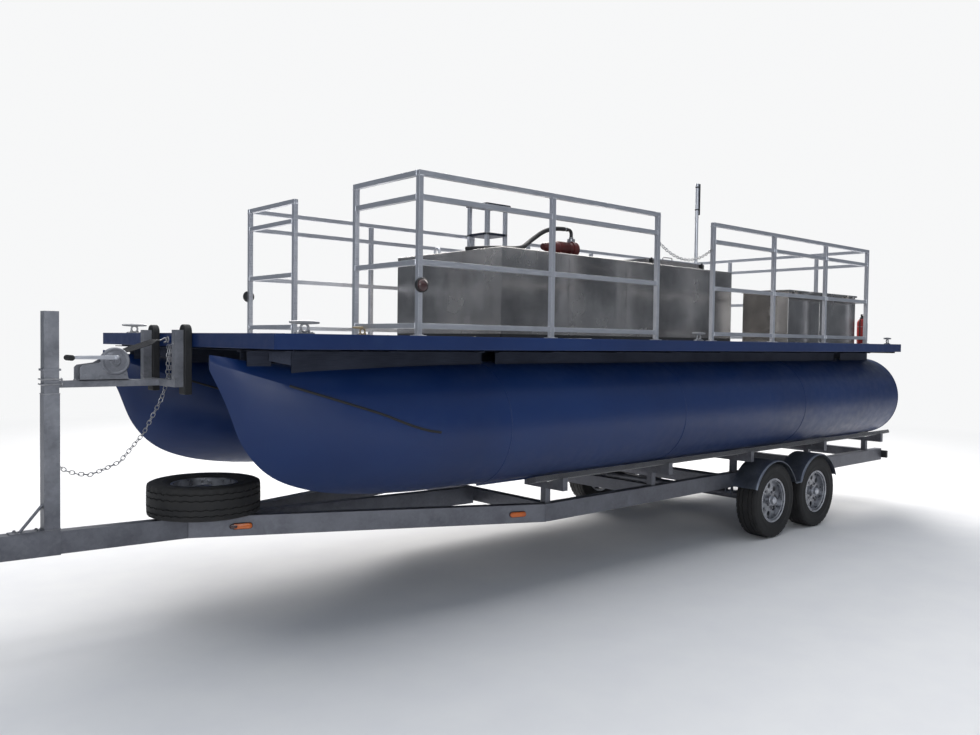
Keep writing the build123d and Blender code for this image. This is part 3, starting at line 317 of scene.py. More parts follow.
def galvanised(name, dark, light, low=0.40, high=0.60):
    """Hot-dip zinc: crystal spangle, grey blotches, a little white rust, and road film low down."""
    paint = Paint(name, metallic=0.85)
    flakes = paint.node("TexVoronoi", {"Scale": 55.0, "Vector": paint.place}).outputs["Color"]
    spangle = paint.node("SeparateColor", {"Color": flakes}).outputs["Red"]
    mottle = paint.maths("ADD", paint.noise(5.0, 5.0), paint.fit(spangle, -0.06, 0.06, 0.0, 1.0))
    tone = paint.ramp(mottle, (0.28, dark), (0.72, light))
    chalk = paint.fit(paint.noise(11.0, 6.0), 0.0, 0.40, 0.58, 0.82)
    chalked = paint.mixed(chalk, tone, tuple(1.35 * v for v in light))
    film = paint.fit(paint.height(), 1.0, 0.0, 0.75, 1.05)
    filmed = paint.mixed(1.0, chalked, ROAD_FILM, "MULTIPLY")
    paint.face(paint.mixed(film, chalked, filmed), paint.fit(mottle, low, high))
    paint.bump(paint.noise(120.0, 3.0), 0.20, 0.0008)
    return paint


def carpet():
    """Charcoal carpet with a short uneven pile."""
    paint = Paint("bunk_carpet")
    pile = paint.noise(420.0, 3.0)
    shades = (0.3, (0.020, 0.021, 0.024)), (0.75, (0.060, 0.060, 0.064))
    worn = paint.ramp(paint.noise(6.0, 4.0), *shades)
    paint.face(paint.mixed(paint.fit(pile, 0.0, 0.5), worn, (0.10, 0.10, 0.11)), 0.95)
    paint.set("Sheen Weight", 0.4)
    paint.bump(pile, 0.8, 0.0030)
    return paint


def webbing():
    """Black woven strap with a fine rib."""
    paint = Paint("strap_webbing")
    weave = paint.maths("MULTIPLY", paint.bands(260.0, "X"), paint.bands(180.0, "Y"))
    paint.face(paint.ramp(weave, (0.1, (0.012, 0.012, 0.014)), (0.9, (0.050, 0.050, 0.056))), 0.8)
    paint.bump(weave, 0.6, 0.0008)
    return paint


def lens(name, deep, bright):
    """A moulded lamp lens with fine ribs."""
    paint = Paint(name)
    cloud = paint.noise(9.0, 3.0)
    paint.face(paint.ramp(cloud, (0.3, deep), (0.7, bright)), paint.fit(cloud, 0.12, 0.28))
    paint.set("Coat Weight", 0.6)
    paint.bump(paint.bands(90.0, "Z"), 0.5, 0.0015)
    return paint


def coated(name, cloud, dark, light, rough, grain, metallic=0.0, chip=None):
    """A coat whose tone and roughness follow one cloud, finely grained, chipped where asked."""
    paint = Paint(name, metallic)
    cloud = paint.noise(*cloud)
    tone = paint.ramp(cloud, dark, light)
    if chip:
        tone = paint.mixed(paint.fit(paint.noise(34.0, 6.0), 0.0, 1.0, 0.62, 0.70), tone, chip)
    paint.face(tone, paint.fit(cloud, *rough))
    pitch, detail, strength, depth = grain
    paint.bump(paint.noise(pitch, detail), strength, depth)
    return paint


def rubber(name, dark, light):
    """Matt rubber, greyed by dust."""
    return coated(name, (12.0, 5.0), (0.35, dark), (0.75, light), (0.62, 0.85), (160.0, 3.0, 0.25, 0.0006))


def enamel(name, deep, bright, chip):
    """Worn enamel that shows darker metal where it has chipped."""
    grain = (90.0, 3.0, 0.15, 0.0006)
    return coated(name, (7.0, 4.0), (0.3, deep), (0.7, bright), (0.28, 0.50), grain, chip=chip)


def wheel_steel():
    """Silver painted steel with brake dust."""
    dark, light = (0.35, (0.17, 0.175, 0.19)), (0.62, (0.40, 0.41, 0.44))
    return coated("wheel_steel", (22.0, 5.0), dark, light, (0.22, 0.42), (180.0, 2.0, 0.10, 0.0004), 0.75)


def black_plastic():
    """Moulded black housing with a fine grain."""
    dark, light = (0.3, (0.008, 0.008, 0.009)), (0.7, (0.020, 0.020, 0.022))
    return coated("black_plastic", (20.0, 3.0), dark, light, (0.32, 0.52), (400.0, 2.0, 0.2, 0.0003))


def make_materials():
    """One finish for each slot of the record, and a few for added pieces."""
    made = (
        hull_paint(),
        # bare_aluminium is darkened and tinted blue: painted deep shade with a painted blue reflection,
        # meant for the risers under the deck
        brushed("bare_aluminium", (0.035, 0.040, 0.058), (0.075, 0.083, 0.115), 0.42, 0.60),
        deck_plate(),
        brushed("rail_aluminium", (0.54, 0.55, 0.59), (0.78, 0.79, 0.83)),
        tank_sheet(),
        lens("lamp_red", (0.022, 0.002, 0.002), (0.060, 0.003, 0.004)),
        lens("lamp_amber", (0.42, 0.075, 0.010), (0.75, 0.17, 0.02)),
        enamel("roller_bronze", (0.20, 0.15, 0.08), (0.34, 0.27, 0.16), (0.10, 0.07, 0.05)),
        enamel("pump_red", (0.050, 0.009, 0.008), (0.125, 0.018, 0.015), (0.020, 0.018, 0.018)),
        enamel("can_red", (0.30, 0.012, 0.010), (0.48, 0.022, 0.018), (0.10, 0.03, 0.03)),
        galvanised("cleat_metal", (0.24, 0.24, 0.25), (0.40, 0.40, 0.41), 0.30, 0.50),
        galvanised("galvanised", (0.185, 0.190, 0.210), (0.330, 0.338, 0.365)),
        rubber("stop_rubber", (0.007, 0.007, 0.008), (0.024, 0.024, 0.026)),
        webbing(),
        carpet(),
        wheel_steel(),
        rubber("tyre", (0.006, 0.006, 0.007), (0.024, 0.023, 0.022)),
        # fender_steel's blue tint is a painted reflection of the blue hull
        galvanised("fender_steel", (0.20, 0.225, 0.275), (0.36, 0.40, 0.46), 0.30, 0.46),
        galvanised("chain_steel", (0.24, 0.24, 0.25), (0.44, 0.44, 0.46), 0.28, 0.45),
        black_plastic(),
    )
    return {paint.name: paint.done for paint in made}


# Mesh tools


def moved(at, x=0.0, y=0.0, z=0.0):
    """A point shifted by millimetres."""
    return Vector(at) + Vector((x, y, z)) * MM


def axes_about(along):
    """Two axes square to a direction, and the direction itself."""
    along = Vector(along).normalized()
    across = UP.cross(along) if abs(along.z) < 0.9 else PORT.cross(along)
    across.normalize()
    return across, along.cross(across), along


def circle(at, along, radius, steps, lift=0.0, phase=0.0):
    """A ring of points about an axis."""
    across, over, along = axes_about(along)
    hub = Vector(at) + along * lift
    turns = [2 * math.pi * (i + phase) / steps for i in range(steps)]
    return [hub + (across * math.cos(t) + over * math.sin(t)) * radius for t in turns]


def arc(hub, across, over, radius, start, end, steps):
    """Points along an arc in the plane of two directions, its ends in degrees."""
    hub, across, over = Vector(hub), Vector(across), Vector(over)
    turns = [math.radians(start + (end - start) * i / steps) for i in range(steps + 1)]
    return [hub + (across * math.cos(t) + over * math.sin(t)) * radius for t in turns]


def bulge(wide, tall, lift, angles, inner=0.0):
    """Lathe rows along part of an ellipse, over a height and out from an inner radius."""
    turns = [math.radians(a) for a in angles]
    return [(inner + wide * math.cos(t), lift + tall * math.sin(t)) for t in turns]


def square(at, reach):
    """Five corners that close a level square about a point."""
    return [moved(at, a * reach, b * reach) for a, b in SQUARE]


def pill(at, along, up, long, tall, steps=8):
    """The outline of a slot with round ends, its sizes in millimetres."""
    reach = Vector(along) * (long - tall) / 2 * MM
    ring = arc(at + reach, along, up, tall / 2 * MM, -90, 90, steps)
    return ring + arc(at - reach, along, up, tall / 2 * MM, 90, 270, steps)


def rounded(at, across, over, wide, tall, ease, grow=0.0):
    """The outline of a rectangle with rounded corners, whose radius may be grown."""
    ring = []
    for a, b, start in ((1, 1, 0), (-1, 1, 90), (-1, -1, 180), (1, -1, 270)):
        hub = at + across * a * (wide / 2 - ease) + over * b * (tall / 2 - ease)
        ring += arc(hub, across, over, ease + grow, start, start + 90, 4)
    return ring


def walk(points, step):
    """Even steps along a run of points."""
    points = [Vector(p) for p in points]
    walked = [points[0]]
    for start, end in zip(points, points[1:]):
        count = max(1, round((end - start).length / step))
        walked += [start.lerp(end, (i + 1) / count) for i in range(count)]
    return walked


def centre(node):
    """The middle of a node's box."""
    low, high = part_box(node)
    return (Vector(low) + Vector(high)) / 2


class Piece:
    """A mesh gathered from simple forms, then given a finish and a body."""

    def __init__(self, name):
        self.name = name
        self.mesh = bmesh.new()

    def skin(self, rings, caps=True, looped=False, closed=True):
        """Skins a run of rings that all have the same number of points."""
        rows = [[self.mesh.verts.new(point) for point in ring] for ring in rings]
        count = len(rows[0])
        pairs = list(zip(rows, rows[1:]))
        if looped:
            pairs.append((rows[-1], rows[0]))
        for near, far in pairs:
            for i in range(count if closed else count - 1):
                j = (i + 1) % count
                self.mesh.faces.new((near[i], near[j], far[j], far[i]))
        if caps and not looped:
            self.mesh.faces.new(rows[0][::-1])
            self.mesh.faces.new(rows[-1])
        return self

    def lathe(self, at, along, rows, steps=40, caps=True):
        """Turns rows of radius and height about an axis."""
        return self.skin([circle(at, along, r * MM, steps, h * MM) for r, h in rows], caps)

    def rod(self, start, end, radius):
        """A round bar between two points, with its ends eased."""
        long = (Vector(end) - Vector(start)).length / MM
        ease = radius * 0.12
        rows = [(radius - ease, 0), (radius, ease), (radius, long - ease), (radius - ease, long)]
        return self.lathe(start, Vector(end) - Vector(start), rows, 20)

    def tube(self, points, radius, steps=10, looped=False, ripple=0.0):
        """A round bar swept along points, its radius rippled for a weld."""
        points = [Vector(p) for p in points]
        count = len(points)
        rings = []
        side = None
        for i, point in enumerate(points):
            before = points[i - 1] if (looped or i) else point
            after = points[(i + 1) % count] if (looped or i < count - 1) else point
            along = (after - before).normalized()
            side = axes_about(along)[0] if side is None else (side - along * side.dot(along)).normalized()
            over = along.cross(side)
            size = radius * MM * (1 + ripple * (i % 2))
            turns = [2 * math.pi * k / steps for k in range(steps)]
            rings.append([point + (side * math.cos(t) + over * math.sin(t)) * size for t in turns])
        return self.skin(rings, looped=looped)

    def ring(self, at, across, over, radius, bar, steps=24, sides=10):
        """A round bar closed to a ring."""
        return self.tube(arc(at, across, over, radius * MM, 0, 360, steps)[:-1], bar, sides, looped=True)

    def band(self, at, along, radius, bar, steps=40, sides=8, ripple=0.0):
        """A round bar closed to a ring about an axis."""
        return self.tube(circle(at, along, radius * MM, steps), bar, sides, True, ripple)

    def slab(self, outline, thick):
        """A flat outline of points given a thickness, as a vector."""
        flat = [Vector(p) for p in outline]
        return self.skin([flat, [p + Vector(thick) for p in flat]])

    def box(self, low, high):
        """A box between two corners."""
        (x0, y0, z0), (x1, y1, z1) = low, high
        return self.slab([(x0, y0, z0), (x1, y0, z0), (x1, y1, z0), (x0, y1, z0)], (0, 0, z1 - z0))

    def block(self, at, low, high):
        """A box between two corners that are measured from a point."""
        return self.box(moved(at, *low), moved(at, *high))

    def bolt(self, at, along, size, washer=True):
        """A hex head on a washer, standing on a face."""
        if washer:
            self.lathe(at, along, [(size * 1.05, 0), (size * 1.05, size * 0.16)], 18)
        head = [(size * 0.82, size * 0.12), (size * 0.82, size * 0.62), (size * 0.70, size * 0.74)]
        return self.lathe(at, along, head, 6)

    def weld(self, points, radius):
        """A rippled bead along points."""
        return self.tube(walk(points, radius * MM * 1.1), radius, 6, ripple=0.22)

    def done(self, slot, replaces=None, body="root", bevel=0.0, crease=35.0):
        """Turns the gathered mesh into a finished piece that rides on a body."""
        bmesh.ops.recalc_face_normals(self.mesh, faces=self.mesh.faces)
        data = bpy.data.meshes.new(self.name)
        self.mesh.to_mesh(data)
        self.mesh.free()
        for face in data.polygons:
            face.use_smooth = True
        data.set_sharp_from_angle(angle=math.radians(crease))
        made = placed(self.name, data)
        if bevel:
            edge = made.modifiers.new("edge", "BEVEL")
            edge.width = bevel * MM
            edge.segments = 2
            edge.limit_method = "ANGLE"
            edge.harden_normals = True
        settle(made, slot, body, replaces)


def settle(made, slot, body, replaces):
    """Gives a piece its finish and its body, and hides the solid that it stands for."""
    made.data.materials.append(materials[slot])
    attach(made, body)
    if replaces:
        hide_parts(replaces)


# Pump hose

HOSE_WIDTH = 36 * MM
HOSE_POINTS = (
    (-0.1712, 0.300, 2.6830),
    (0.0035, 0.300, 2.6830),
    (0.3135, 0.385, 2.5300),
    (0.5135, 0.510, 2.4483),
    (0.7185, 0.445, 2.4483),
    (0.8015, 0.210, 2.4483),
)


def pump_hose():
    """The black hose from the pump's elbow down on to the tank's top."""
    data = bpy.data.curves.new("hose", "CURVE")
    data.dimensions = "3D"
    data.bevel_depth = HOSE_WIDTH / 2
    data.bevel_resolution = 6
    data.resolution_u = 24
    data.use_fill_caps = True
    line = data.splines.new("NURBS")
    line.points.add(len(HOSE_POINTS) - 1)
    for point, place in zip(line.points, HOSE_POINTS):
        point.co = (*place, 1)
    line.order_u = 3
    line.use_endpoint_u = True
    hose = placed("hose", data)
    settle(hose, "stop_rubber", "root", "pump_hose")


# Wheels and tyres

# Tyre section from the tread's edge to the bead, as shares of the radius and of the half width
TYRE_SIDE = (
    *((0.944, 0.965), (0.915, 0.990), (0.880, 1.000), (0.868, 0.990), (0.790, 1.000), (0.740, 0.985)),
    *((0.732, 0.995), (0.722, 0.985), (0.660, 0.935), (0.630, 0.890), (0.606, 0.850), (0.590, 0.800)),
)
SHOULDER = ((0.993, 0.80), (0.985, 0.90))
TREAD_STEPS = 144
GROOVES = (0.27, 0.62)
GROOVE_HALF = 4.5 * MM
GROOVE_DEEP = 8 * MM
GROOVE = ((0, -1), (1, -0.5), (1, 0.5), (0, 1))
SWAY = 2.5 * MM
NUT_RING = 70 * MM
NUTS = 6
HUB_FACE = 60 * MM
# Bright rings on the rim's edge, painted highlights, as radius and height over the hub's face
LIP_HIGHLIGHT_RINGS = ((198 * MM, 25 * MM), (176 * MM, 12 * MM))


def tread_line(radius, half, step):
    """Points across the tread at one step round it: ribs, zigzag grooves and cut shoulders."""
    sway = SWAY if step % 4 < 2 else -SWAY
    cut = GROOVE_DEEP * 0.7 if step % 4 == 0 else 0.0
    line = []
    for side in SIDES:
        part = []
        for at in GROOVES:
            y = at * half + sway * side
            crown = radius * (1 - 0.006 * at * at)
            part += [(crown - GROOVE_DEEP * deep, side * (y + GROOVE_HALF * off)) for deep, off in GROOVE]
        part += [(radius * share - cut, side * wide * half) for share, wide in SHOULDER]
        line = part[::-1] if side < 0 else line + part
    return line


def tyre(node, body, axle=PORT, over=UP):
    """One tyre with its tread, turned about its axle."""
    low, high = (Vector(corner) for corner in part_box(node))
    radius = (high.x - low.x) / 2
    half = (high - low).dot(axle) / 2
    sides = [(share * radius, wide * half) for share, wide in TYRE_SIDE]
    sides += [(r, -y) for r, y in reversed(sides)]
    rings = []
    for step in range(TREAD_STEPS):
        turn = 2 * math.pi * step / TREAD_STEPS
        out = FORWARD * math.cos(turn) + over * math.sin(turn)
        section = tread_line(radius, half, step) + sides
        rings.append([(low + high) / 2 + (out * r + axle * y) for r, y in section])
    Piece(node + "_tread").skin(rings, looped=True).done("tyre", node, body, crease=28.0)


def wheel_trim(name, face, out):
    """Lug nuts, dust cap, and bright rings on the rim's edge as painted highlights, on the outer face of a
    wheel.
    """
    nuts = Piece(name + "_nuts")
    for spot in circle(face, out, NUT_RING, NUTS, phase=0.5):
        nuts.lathe(spot, out, [(14.3, 0), (14.3, 3)], 18)
        nuts.lathe(spot, out, [(11, 2), (11, 15), (6.6, 20)], 6)
    nuts.done("chain_steel", body=name)
    dome = [(38, 0), (38, 5), (33, 8)] + bulge(33, 9, 34, (0, 30, 60, 90), 0.1)
    Piece(name + "_cap").lathe(face, out, dome).done("rail_aluminium", body=name)
    # Bright metal rings on the rim's edge: painted highlights
    lip_highlights = Piece(name + "_lip_highlights")
    for radius, lift in LIP_HIGHLIGHT_RINGS:
        lip_highlights.tube(circle(face, out, radius, 72, lift), 2.6, 8, looped=True)
    lip_highlights.done("rail_aluminium", body=name)


def wheels():
    """The four road wheels and the spare, which lies flat."""
    for corner in ("port_front", "port_rear", "starboard_front", "starboard_rear"):
        out = PORT if corner.startswith("port") else -PORT
        tyre("tyre_" + corner, "wheel_" + corner)
        wheel_trim("wheel_" + corner, centre("rim_" + corner) + out * HUB_FACE, out)
    tyre("spare_tyre", "root", UP, -PORT)


# Pontoons

HULL_Y = 0.850
HULL_Z = centre("pontoon_port").z
HULL_R = 0.405
HULL_AFT = -4.3965
NOSE_TIP = 3.0835
NOSE_LONG = 1.800
NOSE_START = NOSE_TIP - NOSE_LONG
SEAM_XS = (NOSE_START, NOSE_START - 1.85, NOSE_START - 3.70)
HULL_STEPS = 96
TUBE_RINGS = 34
NOSE_RINGS = 56
DENT = 3 * MM
# Nose stations as shares of its length behind the tip and of the hull's radius:
# back, top, crease height, half width, bottom, fullness of the upper and of the lower plates
NOSE = (
    (1.000, 1.000, 0.000, 1.000, -1.000, 0.207, 0.207),
    (0.694, 1.000, 0.000, 0.906, -0.998, 0.200, 0.190),
    (0.478, 1.000, 0.316, 0.726, -0.926, 0.150, 0.170),
    (0.311, 1.000, 0.560, 0.526, -0.778, 0.120, 0.140),
    (0.189, 1.005, 0.738, 0.341, -0.531, 0.090, 0.110),
    (0.106, 1.037, 0.859, 0.195, -0.123, 0.060, 0.080),
    (0.050, 1.077, 0.941, 0.094, 0.469, 0.040, 0.050),
    (0.000, 1.111, 1.012, 0.020, 0.914, 0.030, 0.030),
)


def eased(rows, share):
    """A row between the rows of a table, on a smooth curve through them."""
    at = share * (len(rows) - 1)
    i = min(int(at), len(rows) - 2)
    t = at - i
    around = (rows[min(max(k, 0), len(rows) - 1)] for k in (i - 1, i, i + 1, i + 2))
    return [
        b + t * (c - a + t * (2 * a - 5 * b + 4 * c - d + t * (3 * (b - c) + d - a))) / 2
        for a, b, c, d in zip(*around)
    ]


def bowed(a, b, share, steps):
    """Points along an arc from a to b that rises by a share of its chord, without its end."""
    chord = b - a
    rise = max(share, 0.001)
    radius = chord.length * (0.25 + rise * rise) / (2 * rise)
    outward = Vector((0, chord.z, -chord.y)).normalized()
    hub = (a + b) / 2 + outward * (chord.length * rise - radius)
    half = math.atan2(chord.length / 2, radius - chord.length * rise)
    turns = [2 * half * i / steps - half for i in range(steps)]
    side = chord.normalized()
    return [hub + outward * radius * math.cos(t) + side * radius * math.sin(t) for t in turns]


def nose_ring(station, y):
    """The hull's closed outline at one station of the nose."""
    back, top, crease, half, bottom, upper, lower = station
    hub = Vector((NOSE_TIP - back * NOSE_LONG, y, HULL_Z))
    places = ((half, crease), (0, top), (-half, crease), (0, bottom), (half, crease))
    corners = [hub + Vector((0, a * HULL_R, b * HULL_R)) for a, b in places]
    ring = []
    for start, end, fullness in zip(corners, corners[1:], (upper, upper, lower, lower)):
        ring += bowed(start, end, fullness, HULL_STEPS // 4)
    return ring


def dented(ring, y):
    """A ring pulled in by a few millimetres where the sheet has been knocked."""
    made = []
    for x, at, z in ring:
        soft = noise.noise(Vector((x * 0.9, at * 2.1 + y, z * 2.1)))
        inward = Vector((0, y - at, HULL_Z - z)).normalized()
        made.append(Vector((x, at, z)) + inward * DENT * max(0.0, soft))
    return made


def pontoon(side):
    """One pontoon: tube in welded lengths, two-plate nose, end rim, keel strip and plug, and dark strips
    along the nose's crease lines as painted shadow.
    """
    y = HULL_Y * side
    name = "port" if side > 0 else "starboard"
    long = (NOSE_START - HULL_AFT) / NOSE_LONG
    shares = [1 + long * (1 - i / TUBE_RINGS) for i in range(TUBE_RINGS + 1)]
    rings = [dented(nose_ring((share, *NOSE[0][1:]), y), y) for share in shares]
    rings += [nose_ring(eased(NOSE, i / NOSE_RINGS), y) for i in range(1, NOSE_RINGS + 1)]
    Piece("hull_" + name).skin(rings).done("hull_blue", "pontoon_" + name, crease=24.0)
    trim = Piece("hull_seams_" + name)
    for x in SEAM_XS:
        trim.tube(circle((x, y, HULL_Z), FORWARD, HULL_R - 1 * MM, 120), 3.5, 8, looped=True, ripple=0.12)
    rim = circle((HULL_AFT + 8 * MM, y, HULL_Z), FORWARD, HULL_R - 2 * MM, 120)
    trim.tube(rim, 5, 8, looped=True)
    foot = HULL_Z - HULL_R
    trim.box((HULL_AFT + 0.06, y - 6 * MM, foot - 24 * MM), (NOSE_START - 0.06, y + 6 * MM, foot + 8 * MM))
    trim.lathe((HULL_AFT, y, HULL_Z - 0.30), -FORWARD, [(16, 0), (16, 5), (9, 7)], 6)
    trim.done("hull_blue", bevel=1.5)
    # Dark strips where the nose's upper and lower plates meet: painted shadow of the crease
    crease_shadows = Piece("hull_crease_shadows_" + name)
    for corner in (0, HULL_STEPS // 2):
        line = [nose_ring(eased(NOSE, share / 100), y)[corner] for share in range(14, 55, 2)]
        crease_shadows.tube(line, 7.5, 8)
    crease_shadows.done("stop_rubber")


# Chains

LINK_PITCH = 25.2 * MM
LINK_STRAIGHT = 5 * MM
LINK_TURN = 10.5 * MM
LINK_BAR = 2.5
# The safety chain's run as x and z, from the bow eye down and forward to the winch post
SAFETY_RUN = (
    *((2.9625, 1.7080), (2.9725, 1.4830), (3.0075, 1.3780), (3.1135, 1.1770), (3.2495, 1.0190)),
    *((3.3355, 0.9830), (3.4155, 0.9570), (3.4865, 0.9690), (3.5465, 0.9920), (3.5832, 1.0270)),
)
CHAIN_ASIDE = 14.5 * MM
STRAND_LONG = 0.227
GATE_SAG = 0.108
GATE_CHAIN_Y = 1.095


def spot_on(points, reach):
    """The point and direction at a distance along a run of points."""
    for start, end in zip(points, points[1:]):
        run = end - start
        if reach <= run.length:
            break
        reach -= run.length
    return start + run.normalized() * reach, run.normalized()


def add_chain(piece, points, dice):
    """Round-bar links at even steps along a run of points, each a little out of true."""
    points = [Vector(p) for p in points]
    total = sum((b - a).length for a, b in zip(points, points[1:]))
    count = round(total / LINK_PITCH)
    for i in range(count):
        at, along = spot_on(points, total * (i + 0.5) / count)
        across, over, along = axes_about(along)
        turn = math.radians(90 * (i % 2) + dice.uniform(-9, 9))
        side = across * math.cos(turn) + over * math.sin(turn)
        loop = []
        for end, start in ((1, 0), (-1, 180)):
            loop += arc(at + along * LINK_STRAIGHT * end, side, along, LINK_TURN, start, start + 180, 6)
        piece.tube(loop, LINK_BAR, 7, looped=True)


def safety_chain():
    """The chain from the bow eye to the winch post, and the spare strand beside it."""
    dice = random.Random(7)
    piece = Piece("safety_links")
    add_chain(piece, [(x, -CHAIN_ASIDE, z) for x, z in SAFETY_RUN], dice)
    x, z = SAFETY_RUN[0]
    add_chain(piece, [(x, CHAIN_ASIDE, z), (x, CHAIN_ASIDE, z - STRAND_LONG)], dice)
    piece.done("chain_steel", "safety_chain")


def gate_chain():
    """The chain that hangs across the port gate."""
    low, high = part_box("gate_chain")
    at, half = (low[0] + high[0]) / 2, (high[0] - low[0]) / 2
    top = high[2] - LINK_TURN - LINK_BAR * MM
    turns = [i / 12 - 1 for i in range(25)]
    run = [(at + t * half, GATE_CHAIN_Y, top - GATE_SAG * (1 - t * t)) for t in turns]
    piece = Piece("gate_links")
    add_chain(piece, run, random.Random(3))
    piece.done("chain_steel", "gate_chain")


# Winch, strap and the post's clamps

DRUM = Vector((3.2975, 0, 1.6114))
# How far the arm's top lies below the drum, how far the body reaches ahead of it, and half its width
ARM_DROP = 109
BODY_REACH = 192
DRUM_HALF = 52
CHEEK = 6
SHAFT = moved(DRUM, 35, 0, 25)
CRANK = moved(SHAFT, 0, 190)
GRIP = moved(CRANK, 265)
HOOK_AT = Vector((3.0085, 0, 1.735))
STRAP_HALF = 25 * MM
STRAP_LEAN = 34.0
POST_X = 3.6295
BAND_ZS = (1.512, 1.484)
HOOP = ((-47, -47), (38, -47), (47, -38), (47, 38), (38, 47), (-47, 47))


def winch_frame():
    """Base, side plates rounded over the drum, spacer bolts and the mounting bolts."""
    piece = Piece("winch_frame")
    side = DRUM_HALF + CHEEK
    front = ((-74, -ARM_DROP), (BODY_REACH, -ARM_DROP), (BODY_REACH, -35), (BODY_REACH - 14, -21), (90, -9))
    for y in (-side, DRUM_HALF):
        outline = [moved(DRUM, x, y, z) for x, z in front]
        outline += arc(moved(DRUM, 0, y), FORWARD, UP, 56 * MM, 12, 188, 16)
        piece.slab(outline, PORT * CHEEK * MM)
    base = 6 - ARM_DROP
    piece.block(DRUM, (-80, -side, -ARM_DROP), (BODY_REACH, side, base))
    for x in (-58, 84, 160):
        piece.rod(moved(DRUM, x, -side, base + 24), moved(DRUM, x, side, base + 24), 5)
        for out in SIDES:
            piece.bolt(moved(DRUM, x, 32 * out, base), UP, 11)
            piece.bolt(moved(DRUM, x, side * out, base + 24), PORT * out, 8)
    piece.done("galvanised", "winch", bevel=1.2)


def gear_wheel():
    """The big gear in its pressed cover, with the hub nut."""
    face = moved(DRUM, 0, DRUM_HALF - 8)
    cover = [(75, -6), (80, -3), (80, 17), (75, 22), (66, 21), (62, 17), (30, 17), (26, 21), (16, 21)]
    piece = Piece("winch_gear").lathe(face, PORT, cover, 64)
    piece.bolt(moved(face, 0, 21), PORT, 15)
    for spot in arc(moved(face, 0, 17), FORWARD, UP, 46 * MM, 15, 375, 6)[:-1]:
        piece.lathe(spot, PORT, [(6, 0), (6, 1.5), (4, 2)], 16)
    piece.lathe(moved(SHAFT, 0, DRUM_HALF), PORT, [(24, 0), (24, 14), (20, 18)], 32)
    piece.done("galvanised", bevel=0.8)


def winch_drum():
    """The spool between the cheeks, with webbing wound on it."""
    spool = Piece("winch_spool")
    for side in SIDES:
        spool.lathe(moved(DRUM, 0, (12 - DRUM_HALF) * side), PORT * side, [(52, 0), (52, 3), (30, 6)], 48)
    spool.done("galvanised")
    layers = [(37, -25.5), (39.5, -24.5), (39.5, 24.5), (37, 25.5)]
    Piece("winch_webbing").lathe(DRUM, PORT, layers, 48).done("strap_webbing")


def winch_handle():
    """The cranked handle: bright bar on the shaft, black ribbed grip."""
    piece = Piece("winch_handle")
    piece.rod(moved(SHAFT, 0, DRUM_HALF), moved(CRANK, 0, 14), 9)
    bar = arc(moved(CRANK, 0, -3), FORWARD, UP, 12 * MM, 90, 270, 10)
    bar += arc(moved(GRIP, 0, -3), FORWARD, UP, 9 * MM, -90, 90, 10)
    piece.slab(bar, PORT * 7 * MM)
    piece.bolt(moved(CRANK, 0, 4), PORT, 11)
    piece.rod(moved(GRIP, 0, -12), moved(GRIP, 0, 14), 7)
    piece.done("rail_aluminium", bevel=1)
    rows = [(12, 0), (15.5, 3)]
    for lift in range(12, 93, 10):
        rows += [(15.5, lift - 3), (14, lift - 1), (14, lift + 1), (15.5, lift + 3)]
    rows += [(15.5, 98), (11, 102)]
    Piece("winch_grip").lathe(moved(GRIP, 0, 6), PORT, rows, 28).done("stop_rubber")


def strap_ring(at, wide, share, thick):
    """The strap's section about a point, leaning by a share of its full angle."""
    lean = math.radians(STRAP_LEAN * min(1.0, share))
    edge = (PORT * math.cos(lean) - UP * math.sin(lean)) * wide
    lift = UP * thick * MM
    return [at - edge, at + edge, at + edge + lift, at - edge + lift]


def strap():
    """The tight strap from the drum to the hook, its end sewn back in a loop."""
    start, end = moved(DRUM, -6, 0, 41.5), moved(HOOK_AT, 26, 0, 3)
    fold = start.lerp(end, 0.55)
    long, sewn = [], []
    for t in (i / 24 for i in range(25)):
        wide = STRAP_HALF * (1 - 0.25 * max(0.0, t - 0.86) / 0.14)
        at = start.lerp(end, t) - UP * 0.004 * math.sin(math.pi * t)
        long.append(strap_ring(at, wide, min(3 * t, 6 * (1 - t)), 2.6))
    for t in (i / 8 for i in range(9)):
        wide = STRAP_HALF * 0.97 * (1 - 0.25 * max(0.0, t - 0.7) / 0.3)
        sewn.append(strap_ring(moved(fold.lerp(end, t), 0, 0, -3.6), wide, 2.7 * (1 - t), 2.4))
    Piece("strap").skin(long).skin(sewn).done("strap_webbing", "winch_strap", bevel=0.5)
    hook = Piece("strap_hook").ring(moved(HOOK_AT, 18), PORT, FORWARD, 12, 4, 20)
    bend = [moved(HOOK_AT, 8)] + arc(moved(HOOK_AT, -14), UP, -FORWARD, 12 * MM, 0, 200, 14)
    hook.tube(bend, 5, 12).done("chain_steel")


def post_clamps():
    """Two U-bolts round the post through the arm's plate, with their nuts."""
    piece = Piece("post_clamps")
    for z in BAND_ZS:
        post = Vector((POST_X, 0, z))
        piece.tube([moved(post, *corner) for corner in HOOP], 5)
        for side in SIDES:
            piece.bolt(moved(post, -45, 47 * side), -FORWARD, 10)
    piece.done("chain_steel")


# Guard rails

DECK_Z = 1.780
RAIL_HALF = 16 * MM
RAIL_TOPS = (0.076, 0.452, 0.838, 0.978)
RAIL_Y = 1.095
BOW_RAIL_X = 1.9075
STERN_RAIL_X = -3.9255
FRONT_POSTS = (-0.3715, 0.7835, BOW_RAIL_X)
AFT_POSTS = (STERN_RAIL_X, -3.0365, -2.0765, -1.1185)
